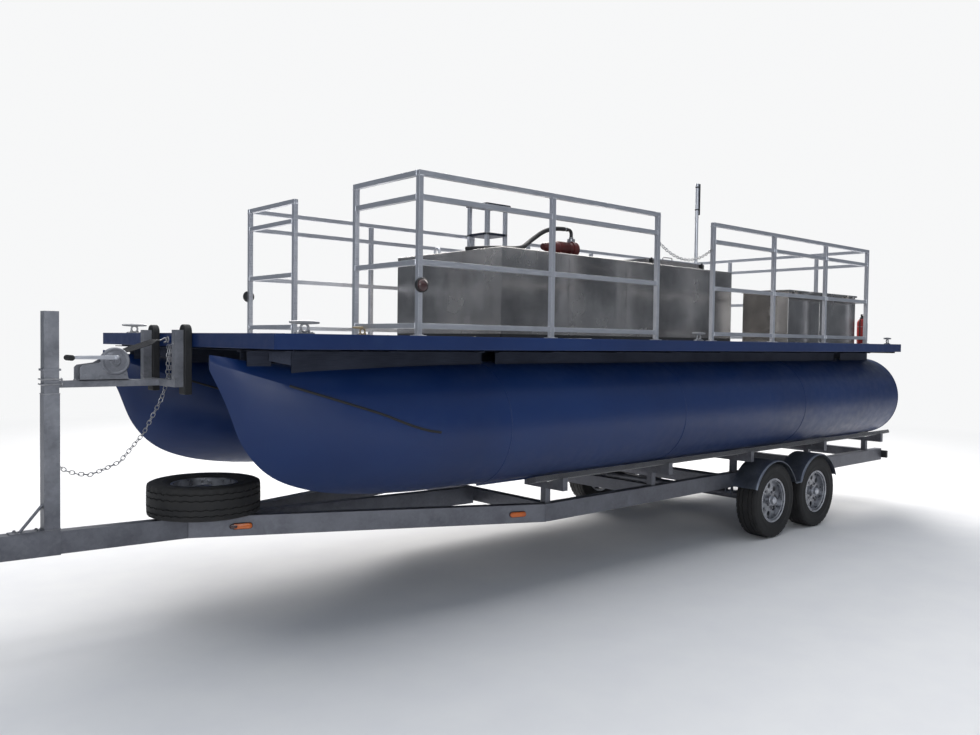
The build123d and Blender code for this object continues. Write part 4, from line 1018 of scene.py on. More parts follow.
# Cross panels as node, place along the boat, posts of their own and all places that their bars join
CROSS_PANELS = (
    ("rail_bow_port", BOW_RAIL_X, (0.412,), (0.412, RAIL_Y)),
    ("rail_bow_starboard", BOW_RAIL_X, (-0.393,), (-RAIL_Y, -0.393)),
    ("rail_stern", STERN_RAIL_X, (-0.540, 0.540), (-RAIL_Y, -0.540, 0.540, RAIL_Y)),
)


def square_tube(piece, start, end):
    """A square tube between two points on one axis."""
    low = [min(a, b) - (RAIL_HALF if a == b else 0) for a, b in zip(start, end)]
    high = [max(a, b) + (RAIL_HALF if a == b else 0) for a, b in zip(start, end)]
    piece.box(low, high)


def joint_bead(piece, at, along):
    """The weld round a square tube where it meets a post."""
    across, over, along = axes_about(along)
    reach = RAIL_HALF + 0.4 * MM
    corners = [at + (across * a + over * b) * reach for a, b in SQUARE]
    piece.tube(walk(corners, 5 * MM)[:-1], 2.4, 6, looped=True, ripple=0.3)


def post_foot(tubes, fixings, at, along):
    """A post's weld at the deck, on its bolted foot plate."""
    long, wide = (44, 24) if along.x else (24, 44)
    tubes.block(at, (-long, -wide, 0), (long, wide, 5))
    joint_bead(tubes, moved(at, 0, 0, 6), UP)
    for side in SIDES:
        fixings.bolt(moved(at, 0, 0, 5) + along * side * 32 * MM, UP, 7.5)


def rail_panel(node, own, places, along, aside):
    """One welded panel: its own posts, the bars between all its places, and the top rail."""
    def spot(place, z):
        return along * place + aside + UP * z

    tubes, beads, fixings = (Piece(node + part) for part in ("_tubes", "_beads", "_bolts"))
    top = DECK_Z + RAIL_TOPS[-1] - 2 * RAIL_HALF
    for place in own:
        square_tube(tubes, spot(place, DECK_Z), spot(place, top))
        post_foot(tubes, fixings, spot(place, DECK_Z), along)
        joint_bead(beads, spot(place, top), UP)
    for rise in RAIL_TOPS:
        z = DECK_Z + rise - RAIL_HALF
        capping = rise == RAIL_TOPS[-1]
        joined = (places[0], places[-1]) if capping else places
        for pair in zip(joined, joined[1:]):
            over = [capping and place in own for place in pair]
            ways = [-way if past else way for way, past in zip((1, -1), over)]
            ends = [place + way * RAIL_HALF for place, way in zip(pair, ways)]
            square_tube(tubes, spot(ends[0], z), spot(ends[1], z))
            for end, past in zip(ends, over):
                if not past:
                    joint_bead(beads, spot(end, z), along)
    tubes.done("rail_aluminium", node, bevel=3)
    beads.done("rail_aluminium")
    fixings.done("chain_steel")


def guard_rails():
    """Four side panels and three across the deck."""
    for name, side in (("port", 1), ("starboard", -1)):
        for part, posts in (("front", FRONT_POSTS), ("aft", AFT_POSTS)):
            rail_panel(f"rail_{name}_{part}", posts, posts, FORWARD, PORT * side * RAIL_Y)
    for node, x, own, places in CROSS_PANELS:
        rail_panel(node, own, places, PORT, FORWARD * x)


# Deck fittings

DECK_BOW = 2.9435
DECK_STERN = -4.3365
DECK_HALF = 1.295
FASCIA_FOOT = 1.699
BEAM_COUNT = 12
SHEET_JOINTS = (-1.9, 0.55)
SHEET_LONG = 2.44
BOW_EYE_Z = 1.740
RISER_TOP = 1.684
# The riser bridges' ends as place along the boat, distance from the pontoon's middle and depth
RISER_ENDS = ((2.655, 98, 78), (2.768, 42, 52))
CLEAT_XS = (2.7435, -0.7365, -4.1365)
CLEAT_Y = 1.235
CLEAT_SIZE = 0.86
BOW_CLEAT_AT = (1.9235, 0.522)
BOW_CLEAT_SIZE = 0.74
HORN = ((12.5, 0), (12, 30), (10.5, 62), (8.5, 88), (7.5, 98), (4, 102))
SIDE_LAMP_Y = 1.1113
SIDE_LAMP_Z = 2.080
CAN_AT = Vector((-4.0065, 1.020, DECK_Z))
CAN_LEVERS = (((-52, -7, 288), (14, 7, 293)), ((-58, -6, 306), (12, 6, 311)), ((2, -8, 290), (13, 8, 312)))
CAN_HOSE = ((12, 0, 274), (34, 0, 276), (52, 4, 258), (56, 6, 220), (56, 7, 130), (55, 7, 70))
CONSOLE_LOW = (-0.5365, -1.060, DECK_Z)
CONSOLE_HIGH = (-0.2765, -0.780, DECK_Z + 1.255)
CONSOLE_SHELF = DECK_Z + 0.985
MAST_AT = Vector((-2.1665, 0.200, DECK_Z))
MAST_TALL = 1550


def deck_fixings():
    """Screws over each cross beam, and the welds between the deck's sheets."""
    screws = Piece("deck_screws")
    dice = random.Random(5)
    step = (DECK_BOW - DECK_STERN - 0.200) / (BEAM_COUNT - 1)
    for i, k in product(range(BEAM_COUNT), range(9)):
        spot = (DECK_STERN + 0.100 + i * step, -1.2 + 0.3 * k, DECK_Z)
        spot = moved(spot, dice.uniform(-3, 3), dice.uniform(-4, 4))
        screws.lathe(spot, UP, [(7, 0), (6.5, 1.6), (3.5, 2.4)], 10)
    screws.done("chain_steel")
    seams = Piece("deck_seams")
    for x in SHEET_JOINTS:
        seams.weld([(x, side * (DECK_HALF - 0.04), DECK_Z) for side in SIDES], 2.4)
    seams.done("rail_aluminium")


def fascia_trim():
    """Corner welds, rolled edges and sheet joints of the painted deck edge, and the bow eye."""
    trim = Piece("fascia_trim")
    for x, y in product((DECK_BOW, DECK_STERN), (DECK_HALF, -DECK_HALF)):
        trim.weld([(x * 0.9996, y * 0.999, z) for z in (FASCIA_FOOT, DECK_Z - 2 * MM)], 2.2)
    for z, inset in ((FASCIA_FOOT + 3 * MM, 2.0 * MM), (DECK_Z - 3 * MM, 2.4 * MM)):
        bow, stern, half = DECK_BOW - inset, DECK_STERN + inset, DECK_HALF - inset
        edge = [(bow, half, z), (bow, -half, z), (stern, -half, z), (stern, half, z), (bow, half, z)]
        trim.tube(walk(edge, 0.4)[:-1], 3, 8, looped=True)
    for x, side in product((DECK_BOW - SHEET_LONG, DECK_BOW - 2 * SHEET_LONG), SIDES):
        y = side * (DECK_HALF - 1 * MM)
        trim.weld([(x, y, FASCIA_FOOT + 4 * MM), (x, y, DECK_Z - 5 * MM)], 1.6)
    at = Vector((DECK_BOW, 0, BOW_EYE_Z))
    eye = Piece("bow_eye").ring(moved(at, 30), PORT, UP, 15, 4.5)
    eye.block(at, (0, -24, -20), (6, 24, 20)).done("chain_steel", bevel=0.8)
    trim.done("hull_blue")


def riser_bridges():
    """The slanting plates that carry the outer risers on over the noses."""
    piece = Piece("riser_bridges")
    for side, edge in product(SIDES, SIDES):
        tops = [moved((x, HULL_Y * side, RISER_TOP), 0, edge * off) for x, off, _ in RISER_ENDS]
        feet = [moved(top, 0, 0, -end[2]) for top, end in zip(tops, RISER_ENDS)]
        piece.slab([*tops, *reversed(feet)], PORT * edge * 3 * MM)
    piece.done("bare_aluminium")


def cleat(piece, bolts, x, y, size):
    """One open cleat: oval foot, hooped body and two tapered horns."""
    base = Vector((x, y, DECK_Z))
    hub = moved(base, 0, 0, 36 * size)
    piece.slab(pill(base, FORWARD, PORT, 134 * size, 38 * size, 10), UP * 7 * size * MM)
    piece.ring(hub, FORWARD, UP, 25 * size, 7.5 * size, 32, 12)
    for end in SIDES:
        neck = [moved(hub, end * a * size, 0, b * size) for a, b in ((22, -12), (34, -30))]
        piece.tube(neck, 9 * size)
        horn = [(r * size, h * size) for r, h in HORN]
        piece.lathe(moved(hub, 0, 0, 32 * size), FORWARD * end, horn, 20)
        bolts.bolt(moved(base, end * 52 * size, 0, 7 * size), UP, 7 * size)


def cleats():
    """Three cleats along each side of the deck, and the bronze one by the bow gate."""
    piece, bronze, bolts = Piece("cleat_bodies"), Piece("bow_cleat"), Piece("cleat_bolts")
    for x, y in product(CLEAT_XS, (CLEAT_Y, -CLEAT_Y)):
        cleat(piece, bolts, x, y, CLEAT_SIZE)
    cleat(bronze, bolts, *BOW_CLEAT_AT, BOW_CLEAT_SIZE)
    piece.done("cleat_metal", "cleats")
    bronze.done("roller_bronze", "bow_roller")
    bolts.done("chain_steel")


def side_lights():
    """A domed lens in a black housing on each bow corner post."""
    housing, domes = Piece("side_lamp_housings"), Piece("side_lamp_lenses")
    for side in SIDES:
        at, out = Vector((BOW_RAIL_X, side * SIDE_LAMP_Y, SIDE_LAMP_Z)), PORT * side
        housing.lathe(at, out, [(34, 0), (44, 2), (45, 14), (43, 20), (39, 23), (37, 20)])
        for spot in arc(at + out * 21 * MM, FORWARD, UP, 41 * MM, 45, 225, 1):
            housing.lathe(spot, out, [(3, 0), (3, 2), (1.5, 3)], 10)
        domes.lathe(at, out, bulge(37, 20, 19, range(0, 91, 15), 0.2))
    housing.done("black_plastic", "side_lights")
    domes.done("lamp_red")


def fire_extinguisher():
    """The red bottle in its wire bracket, with valve, levers, gauge and hose."""
    bottle, head, bracket = (Piece("extinguisher_" + part) for part in ("bottle", "head", "bracket"))
    wall = [(40, 0), (46, 3), (47.5, 8), (47.5, 214)] + bulge(31, 50, 214, (20, 40, 60, 75, 90), 16.5)
    bottle.lathe(CAN_AT, UP, wall)
    bottle.band(moved(CAN_AT, 0, 0, 14), UP, 47.8, 1.6, 40, 6).done("can_red", "fire_extinguisher")
    head.lathe(CAN_AT, UP, [(15, 262), (17, 268), (17, 278), (12, 281), (12, 296), (8, 298)], 24)
    for low, high in CAN_LEVERS:
        head.block(CAN_AT, low, high)
    head.tube([moved(CAN_AT, *place) for place in CAN_HOSE], 6)
    head.lathe(moved(CAN_AT, 55, 7, 72), -UP, [(8, 0), (10, 34), (7, 36)], 16)
    head.lathe(moved(CAN_AT, 0, 12, 287), PORT, [(10, 0), (10, 7), (8, 8)], 20)
    head.done("black_plastic", bevel=0.8)
    for z in (60, 180):
        bracket.band(moved(CAN_AT, 0, 0, z), UP, 49.5, 1.8)
    bracket.block(CAN_AT, (-16, 48, 30), (16, 56, 214)).done("chain_steel")


def console():
    """The open console's welded tubes, its shelf and its dark top plate."""
    tubes, plates, fixings = (Piece("console_" + part) for part in ("tubes", "plates", "bolts"))
    (x0, y0, z0), (x1, y1, z1) = CONSOLE_LOW, CONSOLE_HIGH
    over = 20 * MM
    for x, y in product((x0 + RAIL_HALF, x1 - RAIL_HALF), (y0 + RAIL_HALF, y1 - RAIL_HALF)):
        square_tube(tubes, (x, y, z0), (x, y, z1 - over))
        for z in (z0 + 3 * MM, z1 - over - 1 * MM, CONSOLE_SHELF):
            joint_bead(tubes, Vector((x, y, z)), UP)
        fixings.bolt((x, y, z1), UP, 6)
    tubes.done("rail_aluminium", "console_frame", bevel=3)
    plates.box((x0 - over, y0, z1 - over), (x1 + over, y1 + over, z1))
    plates.box((x0, y0, CONSOLE_SHELF - 24 * MM), (x1, y1, CONSOLE_SHELF))
    plates.done("bare_aluminium", bevel=3)
    fixings.done("chain_steel")


def light_mast():
    """The mast's flanged foot with its bolts, bands, lamp strip and cable."""
    foot, top = moved(MAST_AT, 0, 0, 8), moved(MAST_AT, 0, 0, MAST_TALL - 2)
    piece, lamp = Piece("mast_trim"), Piece("mast_lamp")
    for spot in arc(foot, FORWARD, PORT, 46 * MM, 45, 405, 4)[:-1]:
        piece.bolt(spot, UP, 6)
    piece.lathe(foot, UP, [(26, 0), (17.5, 9)], 28)
    for share in (0.3, 0.55, 0.78):
        piece.lathe(moved(MAST_AT, 0, 0, MAST_TALL * share), UP, [(18, 0), (18, 14)], 28)
    piece.done("rail_aluminium")
    lamp.block(top, (-37, -13, -302), (-14, 13, 0))
    for drop in (260, 40):
        lamp.lathe(moved(top, 0, 0, -drop), UP, [(19, 0), (19, 12)], 28)
    lamp.tube([moved(MAST_AT, -20, 0, z) for z in (1250, 1000, 700, 350, 50)], 3.5, 8)
    lamp.done("black_plastic", bevel=2)


# Water tank and aft locker

SHEET_LIFT = 2 * MM
SHEET_CELLS = (36, 16)
TANK_LOW = (-2.1165, -0.635, 1.810)
TANK_HIGH = (0.8235, 0.635, 2.430)
# Upright seams of the port, front, aft and starboard faces
TANK_SEAMS = ((0.120, -0.576), (0.194,), (), (-0.900, 0.120))
TANK_SWELL = 7 * MM
# How far the black strip round the tank's foot stands out; the strip is painted shadow of the gap under the
# raised tank
GAP_SHADOW_PROUD = 2.5 * MM
FILLER_AT = (-0.560, -0.450, TANK_HIGH[2])
FILLER = ((52, 0), (52, 4), (36, 5), (36, 26), (42, 27), (42, 44), (38, 48), (14, 49), (12, 56))
VENT_AT = (0.560, -0.480, TANK_HIGH[2])
HATCH_LOW = (-1.9205, -0.344, 2.4603)
HATCH_HIGH = (-1.0525, 0.464, 2.5003)
HATCH_GRIP = Vector((-1.490, 0.360, HATCH_HIGH[2] + 4 * MM))
HATCH_LATCH_XS = (-1.870, -1.110)
HINGE_XS = (-1.7465, -1.2265)
HINGE_Y, HINGE_Z = -0.358, 2.4683
LOCKER_LOW = (-3.8815, 0.520, 1.780)
LOCKER_HIGH = (-2.5165, 1.000, 2.260)
LOCKER_SEAM = -3.120
LOCKER_LATCH_XS = (-3.600, -2.860)
LOCKER_SWELL = 3 * MM


def canned(piece, corner, across, over, swell, seed):
    """A sheet that bellies out of true between its edges, standing just proud of a flat face."""
    corner = Vector(corner)
    out = across.cross(over).normalized()
    columns, rows = SHEET_CELLS
    shift = Vector((seed * 7.3, seed * 3.1, 0.5))
    front = [[] for _ in range(rows + 1)]
    for j, i in product(range(rows + 1), range(columns + 1)):
        u, v = i / columns, j / rows
        edge = min(1.0, 5 * min(u, 1 - u)) * min(1.0, 4 * min(v, 1 - v))
        at = corner + across * u + over * v
        wave = noise.noise(at * 2.3 + shift) + 0.5 * noise.noise(at * 5.1 - shift)
        front[j].append(at + out * (SHEET_LIFT + swell * edge * (0.65 + 0.40 * wave)))
    piece.skin(front, caps=False, closed=False)
    rim = front[0] + [line[-1] for line in front[1:]] + front[-1][-2::-1]
    rim += [line[0] for line in front[-2:0:-1]]
    piece.skin([rim, [p - out * (p - corner).dot(out) for p in rim]], caps=False)


def clad(piece, low, high, seams, swell, seed):
    """Canned sheets on a box's port, front, aft and starboard faces, each cut at its seams."""
    (x0, y0, z0), (x1, y1, z1) = low, high
    runs = ((FORWARD, x1, x0, y1), (PORT, y0, y1, x1), (PORT, y1, y0, x0), (FORWARD, x0, x1, y0))
    for (along, start, end, level), cuts in zip(runs, seams):
        stops = [start, *cuts, end]
        for a, b in zip(stops, stops[1:]):
            seed += 1
            corner = (a, level, z0) if along.x else (level, a, z0)
            canned(piece, corner, along * (b - a), UP * (z1 - z0), swell, seed)
    piece.done("tank_sheet")


def water_tank():
    """The tank's bellied sheets over its walls, with their seams, a black strip round its foot as painted
    shadow of the gap under it, and its top fittings.
    """
    seams, gap_shadow, cap, vent = (Piece("tank_" + part) for part in ("seams", "gap_shadow", "filler", "vent"))
    (x0, y0, z0), (x1, y1, z1) = TANK_LOW, TANK_HIGH
    clad(Piece("tank_sheets"), TANK_LOW, TANK_HIGH, TANK_SEAMS, TANK_SWELL, 3)
    places = [(x, y1 + SHEET_LIFT) for x in TANK_SEAMS[0]] + [(x1 + SHEET_LIFT, y) for y in TANK_SEAMS[1]]
    for x, y in [*places, *product((x1, x0), (y1, y0))]:
        seams.weld([(x, y, z0), (x, y, z1)], 2.2)
    edge = [(x1, y1, z1), (x1, y0, z1), (x0, y0, z1), (x0, y1, z1), (x1, y1, z1)]
    seams.tube(walk(edge, 0.1)[:-1], 4, 8, looped=True)
    for x in reversed(TANK_SEAMS[0]):
        seams.weld([(x, y0, z1), (x, y1, z1)], 2)
    seams.done("tank_sheet")
    # A black strip from the deck up to the sheets' foot all round: painted shadow of the gap under the tank
    for low, high in (
        ((x0, y1), (x1, y1 + GAP_SHADOW_PROUD)),
        ((x0, y0 - GAP_SHADOW_PROUD), (x1, y0)),
        ((x1, y0), (x1 + GAP_SHADOW_PROUD, y1)),
        ((x0 - GAP_SHADOW_PROUD, y0), (x0, y1)),
    ):
        gap_shadow.box((*low, DECK_Z), (*high, z0))
    gap_shadow.done("black_plastic")
    cap.lathe(FILLER_AT, UP, FILLER)
    for spot in arc(moved(FILLER_AT, 0, 0, 4), FORWARD, PORT, 44 * MM, 0, 360, 6)[:-1]:
        cap.bolt(spot, UP, 4, False)
    cap.done("rail_aluminium", bevel=0.8)
    rise = [VENT_AT, moved(VENT_AT, 0, 0, 60)]
    rise += arc(moved(VENT_AT, 0, 30, 60), -PORT, UP, 30 * MM, 15, 165, 10) + [moved(VENT_AT, 0, 60, 42)]
    vent.tube(rise, 11, 14).lathe(VENT_AT, UP, [(26, 0), (26, 5), (14, 9)], 28)
    vent.done("rail_aluminium")


def lid_skin(name, low, high, body, depth):
    """A lid's folded sheet: crowned top, rounded corners and turned-down sides."""
    (x0, y0, _), (x1, y1, z1) = low, high
    at = Vector(((x0 + x1) / 2, (y0 + y1) / 2, z1))
    lift = 1.2 * MM
    rings = []
    for grow, rise in ((lift, -depth), (lift, -3 * MM), (-2 * MM, lift)):
        rings.append(rounded(at + UP * rise, FORWARD, PORT, x1 - x0, y1 - y0, 8 * MM, grow))
    peak = at + UP * (lift + 3 * MM)
    crown = [
        [peak.lerp(p, share) + UP * 3 * MM * share * (1 - share) for p in rings[-1]]
        for share in (1.0, 0.8, 0.55, 0.3, 0.05)
    ]
    piece = Piece(name).skin(rings, caps=False).skin(crown, caps=False)
    piece.mesh.faces.new([piece.mesh.verts.new(p) for p in crown[-1]])
    piece.done("tank_sheet", body=body)


def tank_hatch():
    """The hatch's folded lid, lift handle, latches and hinge pins."""
    lid_skin("hatch_lid", HATCH_LOW, HATCH_HIGH, "tank_lid", 36 * MM)
    handle, latch, pins = (Piece("hatch_" + part) for part in ("handle", "latch", "pins"))
    grip = [moved(HATCH_GRIP, -70)]
    for x, start in ((-55, 0), (55, 90)):
        grip += arc(moved(HATCH_GRIP, x, 0, 24), -FORWARD, UP, 15 * MM, start, start + 90, 6)
    handle.tube([*grip, moved(HATCH_GRIP, 70)], 5, 12)
    for x in (-70, 70):
        handle.lathe(moved(HATCH_GRIP, x, 0, -3), UP, [(15, 0), (15, 5), (8, 8)], 24)
    handle.done("chain_steel", body="tank_lid")
    for x in HATCH_LATCH_XS:
        at = Vector((x, HATCH_HIGH[1] + 2 * MM, HATCH_LOW[2]))
        latch.block(at, (-16, 0, 2), (16, 8, 36))
        latch.tube([moved(at, 0, y, z) for y, z in ((6, 4), (12, 20), (4, 50))], 9, 12)
    latch.done("stop_rubber", body="tank_lid", bevel=1.5)
    for x, side in product(HINGE_XS, SIDES):
        at = moved((x, HINGE_Y, HINGE_Z), side * 60)
        pins.lathe(at, FORWARD * side, [(5.5, 0), (5.5, 2), (3, 3.5)], 18)
    pins.done("chain_steel")


def aft_locker():
    """The locker's sheets, seams, and lid with its two latches."""
    (x0, y0, z0), (x1, y1, z1) = LOCKER_LOW, LOCKER_HIGH
    rim, over = z1 - 52 * MM, 14 * MM
    clad(Piece("locker_sheets"), LOCKER_LOW, (x1, y1, rim), ((LOCKER_SEAM,), (), (), ()), LOCKER_SWELL, 11)
    seams = Piece("locker_seams")
    for x, y in product((x1, x0), (y1, y0)):
        seams.weld([(x, y, z0), (x, y, z1 - 3 * MM)], 2)
    seams.weld([(LOCKER_SEAM, y1 + SHEET_LIFT, z) for z in (z0, rim)], 2)
    seams.done("tank_sheet")
    low, high = (x0 - over, y0 - over, z1), (x1 + over, y1 + over, z1 + 18.3 * MM)
    lid_skin("locker_lid_skin", low, high, "locker_top", 17 * MM)
    latch = Piece("locker_latches")
    for x in LOCKER_LATCH_XS:
        at = Vector((x, y0 - 15.5 * MM, z1))
        latch.block(at, (-20, -3, 2), (20, 0, 16)).bolt(moved(at, 0, -3, 9), -PORT, 5)
    latch.done("chain_steel", body="locker_top", bevel=1)


# Deck pump

PUMP_AT = Vector((-0.3015, 0.300, 2.522))
OUTLET = moved(PUMP_AT, 45)
ELBOW_TURN = moved(OUTLET, 0, 0, 161)
# Profiles as radius and height along the axis
CASING = (
    *((40, -2), (58, 0), (66, 8), (70, 22), (69, 40), (64, 54)),
    *((66, 56), (70, 60), (70, 68), (60, 72), (56, 90)),
)
FINS = 12
FIN = ((57.5, 0), (57.5, 3), (53.5, 4.5), (53.5, 9))
COWL = ((56, 224), (52, 240), (46, 276), (39, 322), (31, 366), (26, 379), (16, 383))
FLANGE = ((32, 56), (32, 63), (31, 64), (32, 65), (32, 84), (19, 84), (18, 100))


def pump():
    """Volute casing, finned motor with a tapered cowl, and the bolted base."""
    body = Piece("pump_casing").lathe(PUMP_AT, FORWARD, CASING, 48)
    for spot in arc(moved(PUMP_AT, 68), PORT, UP, 63 * MM, 20, 380, 8)[:-1]:
        body.bolt(spot, FORWARD, 6, False).bolt(moved(spot, -12), -FORWARD, 6, False)
    body.lathe(PUMP_AT, -FORWARD, [(26, -4), (26, 0), (20, 1)], 32)
    body.lathe(OUTLET, UP, [(30, 40), (24, 62), (22, 70)], 32)
    body.done("pump_red", "pump", bevel=1)
    fins = [(r, 96 + 10.5 * i + h) for i, (r, h) in product(range(FINS), FIN)]
    motor = Piece("pump_motor").lathe(PUMP_AT, FORWARD, [(54, 88), (57, 92), *fins, *COWL], 56)
    motor.block(PUMP_AT, (20, -100, -92), (365, 100, -86))
    for x, side in product((60, 210), SIDES):
        web = [moved(PUMP_AT, x, side * y, z) for y, z in ((72, -86), (18, -86), (22, -40), (46, -28))]
        motor.slab(web, FORWARD * 14 * MM)
    motor.done("pump_red", bevel=1)
    fixings = Piece("pump_fixings")
    for x, side in product((46, 339), SIDES):
        fixings.bolt(moved(PUMP_AT, x, side * 84, -86), UP, 9)
    fixings.lathe(OUTLET, UP, FLANGE)
    for spot in arc(moved(OUTLET, 0, 0, 84), FORWARD, PORT, 25 * MM, 45, 405, 4)[:-1]:
        fixings.bolt(spot, UP, 5, False)
    fixings.done("chain_steel")


def pump_elbow():
    """The outlet pipe, its elbow and the hose clamp."""
    line = [moved(ELBOW_TURN, 0, 0, -81), moved(ELBOW_TURN, 0, 0, -39)]
    line += arc(moved(ELBOW_TURN, 34, 0, -34), -FORWARD, UP, 34 * MM, 0, 90, 10)
    elbow = Piece("pump_elbow").tube([*line, moved(ELBOW_TURN, 83)], 14, 20)
    for lift in (46, 58):
        elbow.lathe(moved(ELBOW_TURN, lift), FORWARD, [(16, 0), (17, 2), (17, 6), (16, 8)], 28)
    elbow.done("black_plastic")
    clamp = Piece("hose_clamp")
    clamp.lathe(moved(ELBOW_TURN, 70), FORWARD, [(15.5, 0), (16, 1), (16, 8), (15.5, 9)], 28)
    clamp.bolt(moved(ELBOW_TURN, 74.5, 8, 16), PORT, 4).done("chain_steel")


# Trailer

AXLE_Z = 0.340
AXLE_XS = (-2.1315, -2.9165)
FRAME_FOOT = 0.468
FRAME_TOP = 0.595
BEAM_TALL = FRAME_TOP - FRAME_FOOT
FRAME_OUT = 0.900
FRAME_WIDE = 76 * MM
FRAME_AFT = -4.8365
KINK_X = 0.6135
APEX_X = 2.8635
TONGUE_TIP = 4.6435
TONGUE_HALF = 38 * MM
SLEEVE_X = 3.5885
SLOPE = math.tan(math.radians(1.3))
CROSS_XS = (0.5135, -0.7565, -1.6365, -3.4115, -4.7365)
CROSS_TOP = FRAME_TOP - 12 * MM
CROSS_FOOT = CROSS_TOP - 95 * MM
LEAN = math.atan2(FRAME_OUT - TONGUE_HALF, APEX_X - KINK_X)
HULL_MID = 1.203
BUNK_TILT = math.radians(16.0)
BUNK_SEAT = 0.4243
BUNK_ENDS = (-4.7665, 0.8235)
BUNK_WIDE = 89 * MM
BUNK_THICK = 38 * MM
BUNK_XS = (0.5635, -0.6665, -1.8765, -3.2265, -4.5065)
SADDLE_BOLT_Z = 0.752
SPRING_Y = 0.862
SPRING_HALF = 340
# Leaves as half length and how far each lies under the main one
LEAVES = ((330, 0), (262, 7), (188, 14), (112, 21))
# A leaf's section as place across it and height
LEAF = ((-22, 0), (22, 0), (22, 6), (-22, 6))
FENDER_R = 0.366
FENDER_IN = 0.9003
FENDER_FOOT = 0.475
STAY_FOOT = 0.530
# The mudguard's section as distance out from its inner edge and height over its sheet's middle
FENDER_SECTION = (
    *((0, -1.5), (0, 1.5), (226, 1.5), (236, 0.5), (244, -3), (248, -8)),
    *((250, -8), (250, -12), (243, -10), (236, -3.5), (226, -1.5)),
)
MARKER_XS = (2.5635, 0.8135)
TAIL_AT = (-4.8368, 0.892, 0.5315)
JACK_AT = Vector((4.2235, 0.086, 0))
JACK_HEAD = 0.330
BALL_X = 4.8285
PAD_Y = 0.250
PAD_HALF = 45 * MM
PAD_FACE = 2.9438
PAD_THICK = 44.7 * MM
STOP_FACE = 3.0385
ARM_TOP = DRUM.z - ARM_DROP * MM
ARM_BOLT_XS = (3.12, 3.42, 3.50)
COLLAR_Z = 1.432


def beam_top(x):
    """The height of the frame's top at a place along it."""
    return FRAME_TOP + max(0.0, x - KINK_X) * SLOPE


def beam_spot(x, side, drop, proud=0.0):
    """A point on the outer face of a side beam, below its top, and the way that the face looks."""
    ahead = max(0.0, x - KINK_X)
    lean = LEAN if ahead else 0.0
    out = Vector((math.sin(lean), math.cos(lean) * side, 0))
    at = Vector((x, (FRAME_OUT - ahead * math.tan(LEAN)) * side, beam_top(x) - drop))
    return at + out * proud, out


def frame_welds():
    """Beads where cross members, kink, tongue and sleeve join the beams, and the beams' end caps."""
    welds = Piece("frame_welds")
    inner, half = FRAME_OUT - FRAME_WIDE, FRAME_WIDE / 2
    around = [(-half, CROSS_FOOT), (-half, CROSS_TOP), (half, CROSS_TOP), (half, CROSS_FOOT)]
    around.append(around[0])
    for side in SIDES:
        for x in CROSS_XS:
            welds.weld([(x + a, side * (inner - 1 * MM), z) for a, z in around], 3)
        top, foot = (beam_spot(KINK_X, side, drop, 1 * MM)[0] for drop in (0.0, BEAM_TALL))
        welds.weld([foot, top, top - PORT * side * FRAME_WIDE], 3)
        near = Vector((APEX_X, side * (TONGUE_HALF + 1 * MM), beam_top(APEX_X)))
        welds.weld([near - UP * BEAM_TALL, near, moved(near, -190, -2 * side)], 3.2)
        y0, y1 = sorted((side * (inner + 3 * MM), side * (FRAME_OUT - 3 * MM)))
        welds.box((FRAME_AFT - 2 * MM, y0, FRAME_FOOT + 3 * MM), (FRAME_AFT, y1, FRAME_TOP - 3 * MM))
    x, z = SLEEVE_X - 1 * MM, beam_top(SLEEVE_X)
    for level in (z + 1 * MM, z - BEAM_TALL - 1 * MM):
        welds.weld([(x, side * 42 * MM, level) for side in SIDES], 2.6)
    for side in SIDES:
        y = side * (TONGUE_HALF + 1.5 * MM)
        welds.weld([(x, y, z - BEAM_TALL), (x, y, z)], 2.6)
    welds.done("galvanised")


def bunk_boards():
    """Four carpeted boards with rows of staples."""
    boards, staples = Piece("bunk_carpets"), Piece("bunk_staples")
    start, end = BUNK_ENDS
    for side, tilt in product(SIDES, (-BUNK_TILT, BUNK_TILT)):
        across = Vector((0, math.cos(tilt), math.sin(tilt)))
        up = FORWARD.cross(across)
        hub = Vector((0, HULL_Y * side, HULL_MID)) - up * BUNK_SEAT
        places = [hub + FORWARD * (start + (end - start) * i / 60) for i in range(61)]
        boards.skin([rounded(at, across, up, BUNK_WIDE, BUNK_THICK, 7 * MM) for at in places])
        for i, edge in product(range(34), (-28, 28)):
            x = start + 0.08 + (end - start - 0.16) * i / 33
            spot = hub + FORWARD * x + across * edge * MM - up * (BUNK_THICK / 2 + 0.6 * MM)
            staples.block(spot, (-6, -0.7, -0.5), (6, 0.7, 0.5))
    boards.done("bunk_carpet", "bunk_boards")
    staples.done("chain_steel")


def bracket_trim():
    """Bolts through the saddles and the welds at the feet of their posts."""
    piece = Piece("bracket_trim")
    for side, x in product(SIDES, BUNK_XS):
        y = HULL_Y * side
        piece.weld(square((x, y, FRAME_TOP + 1 * MM), 26), 3)
        for end, off in product(SIDES, (-60, 60)):
            piece.bolt(moved((x, y, SADDLE_BOLT_Z), end * 25, off), FORWARD * end, 8)
    piece.done("chain_steel")


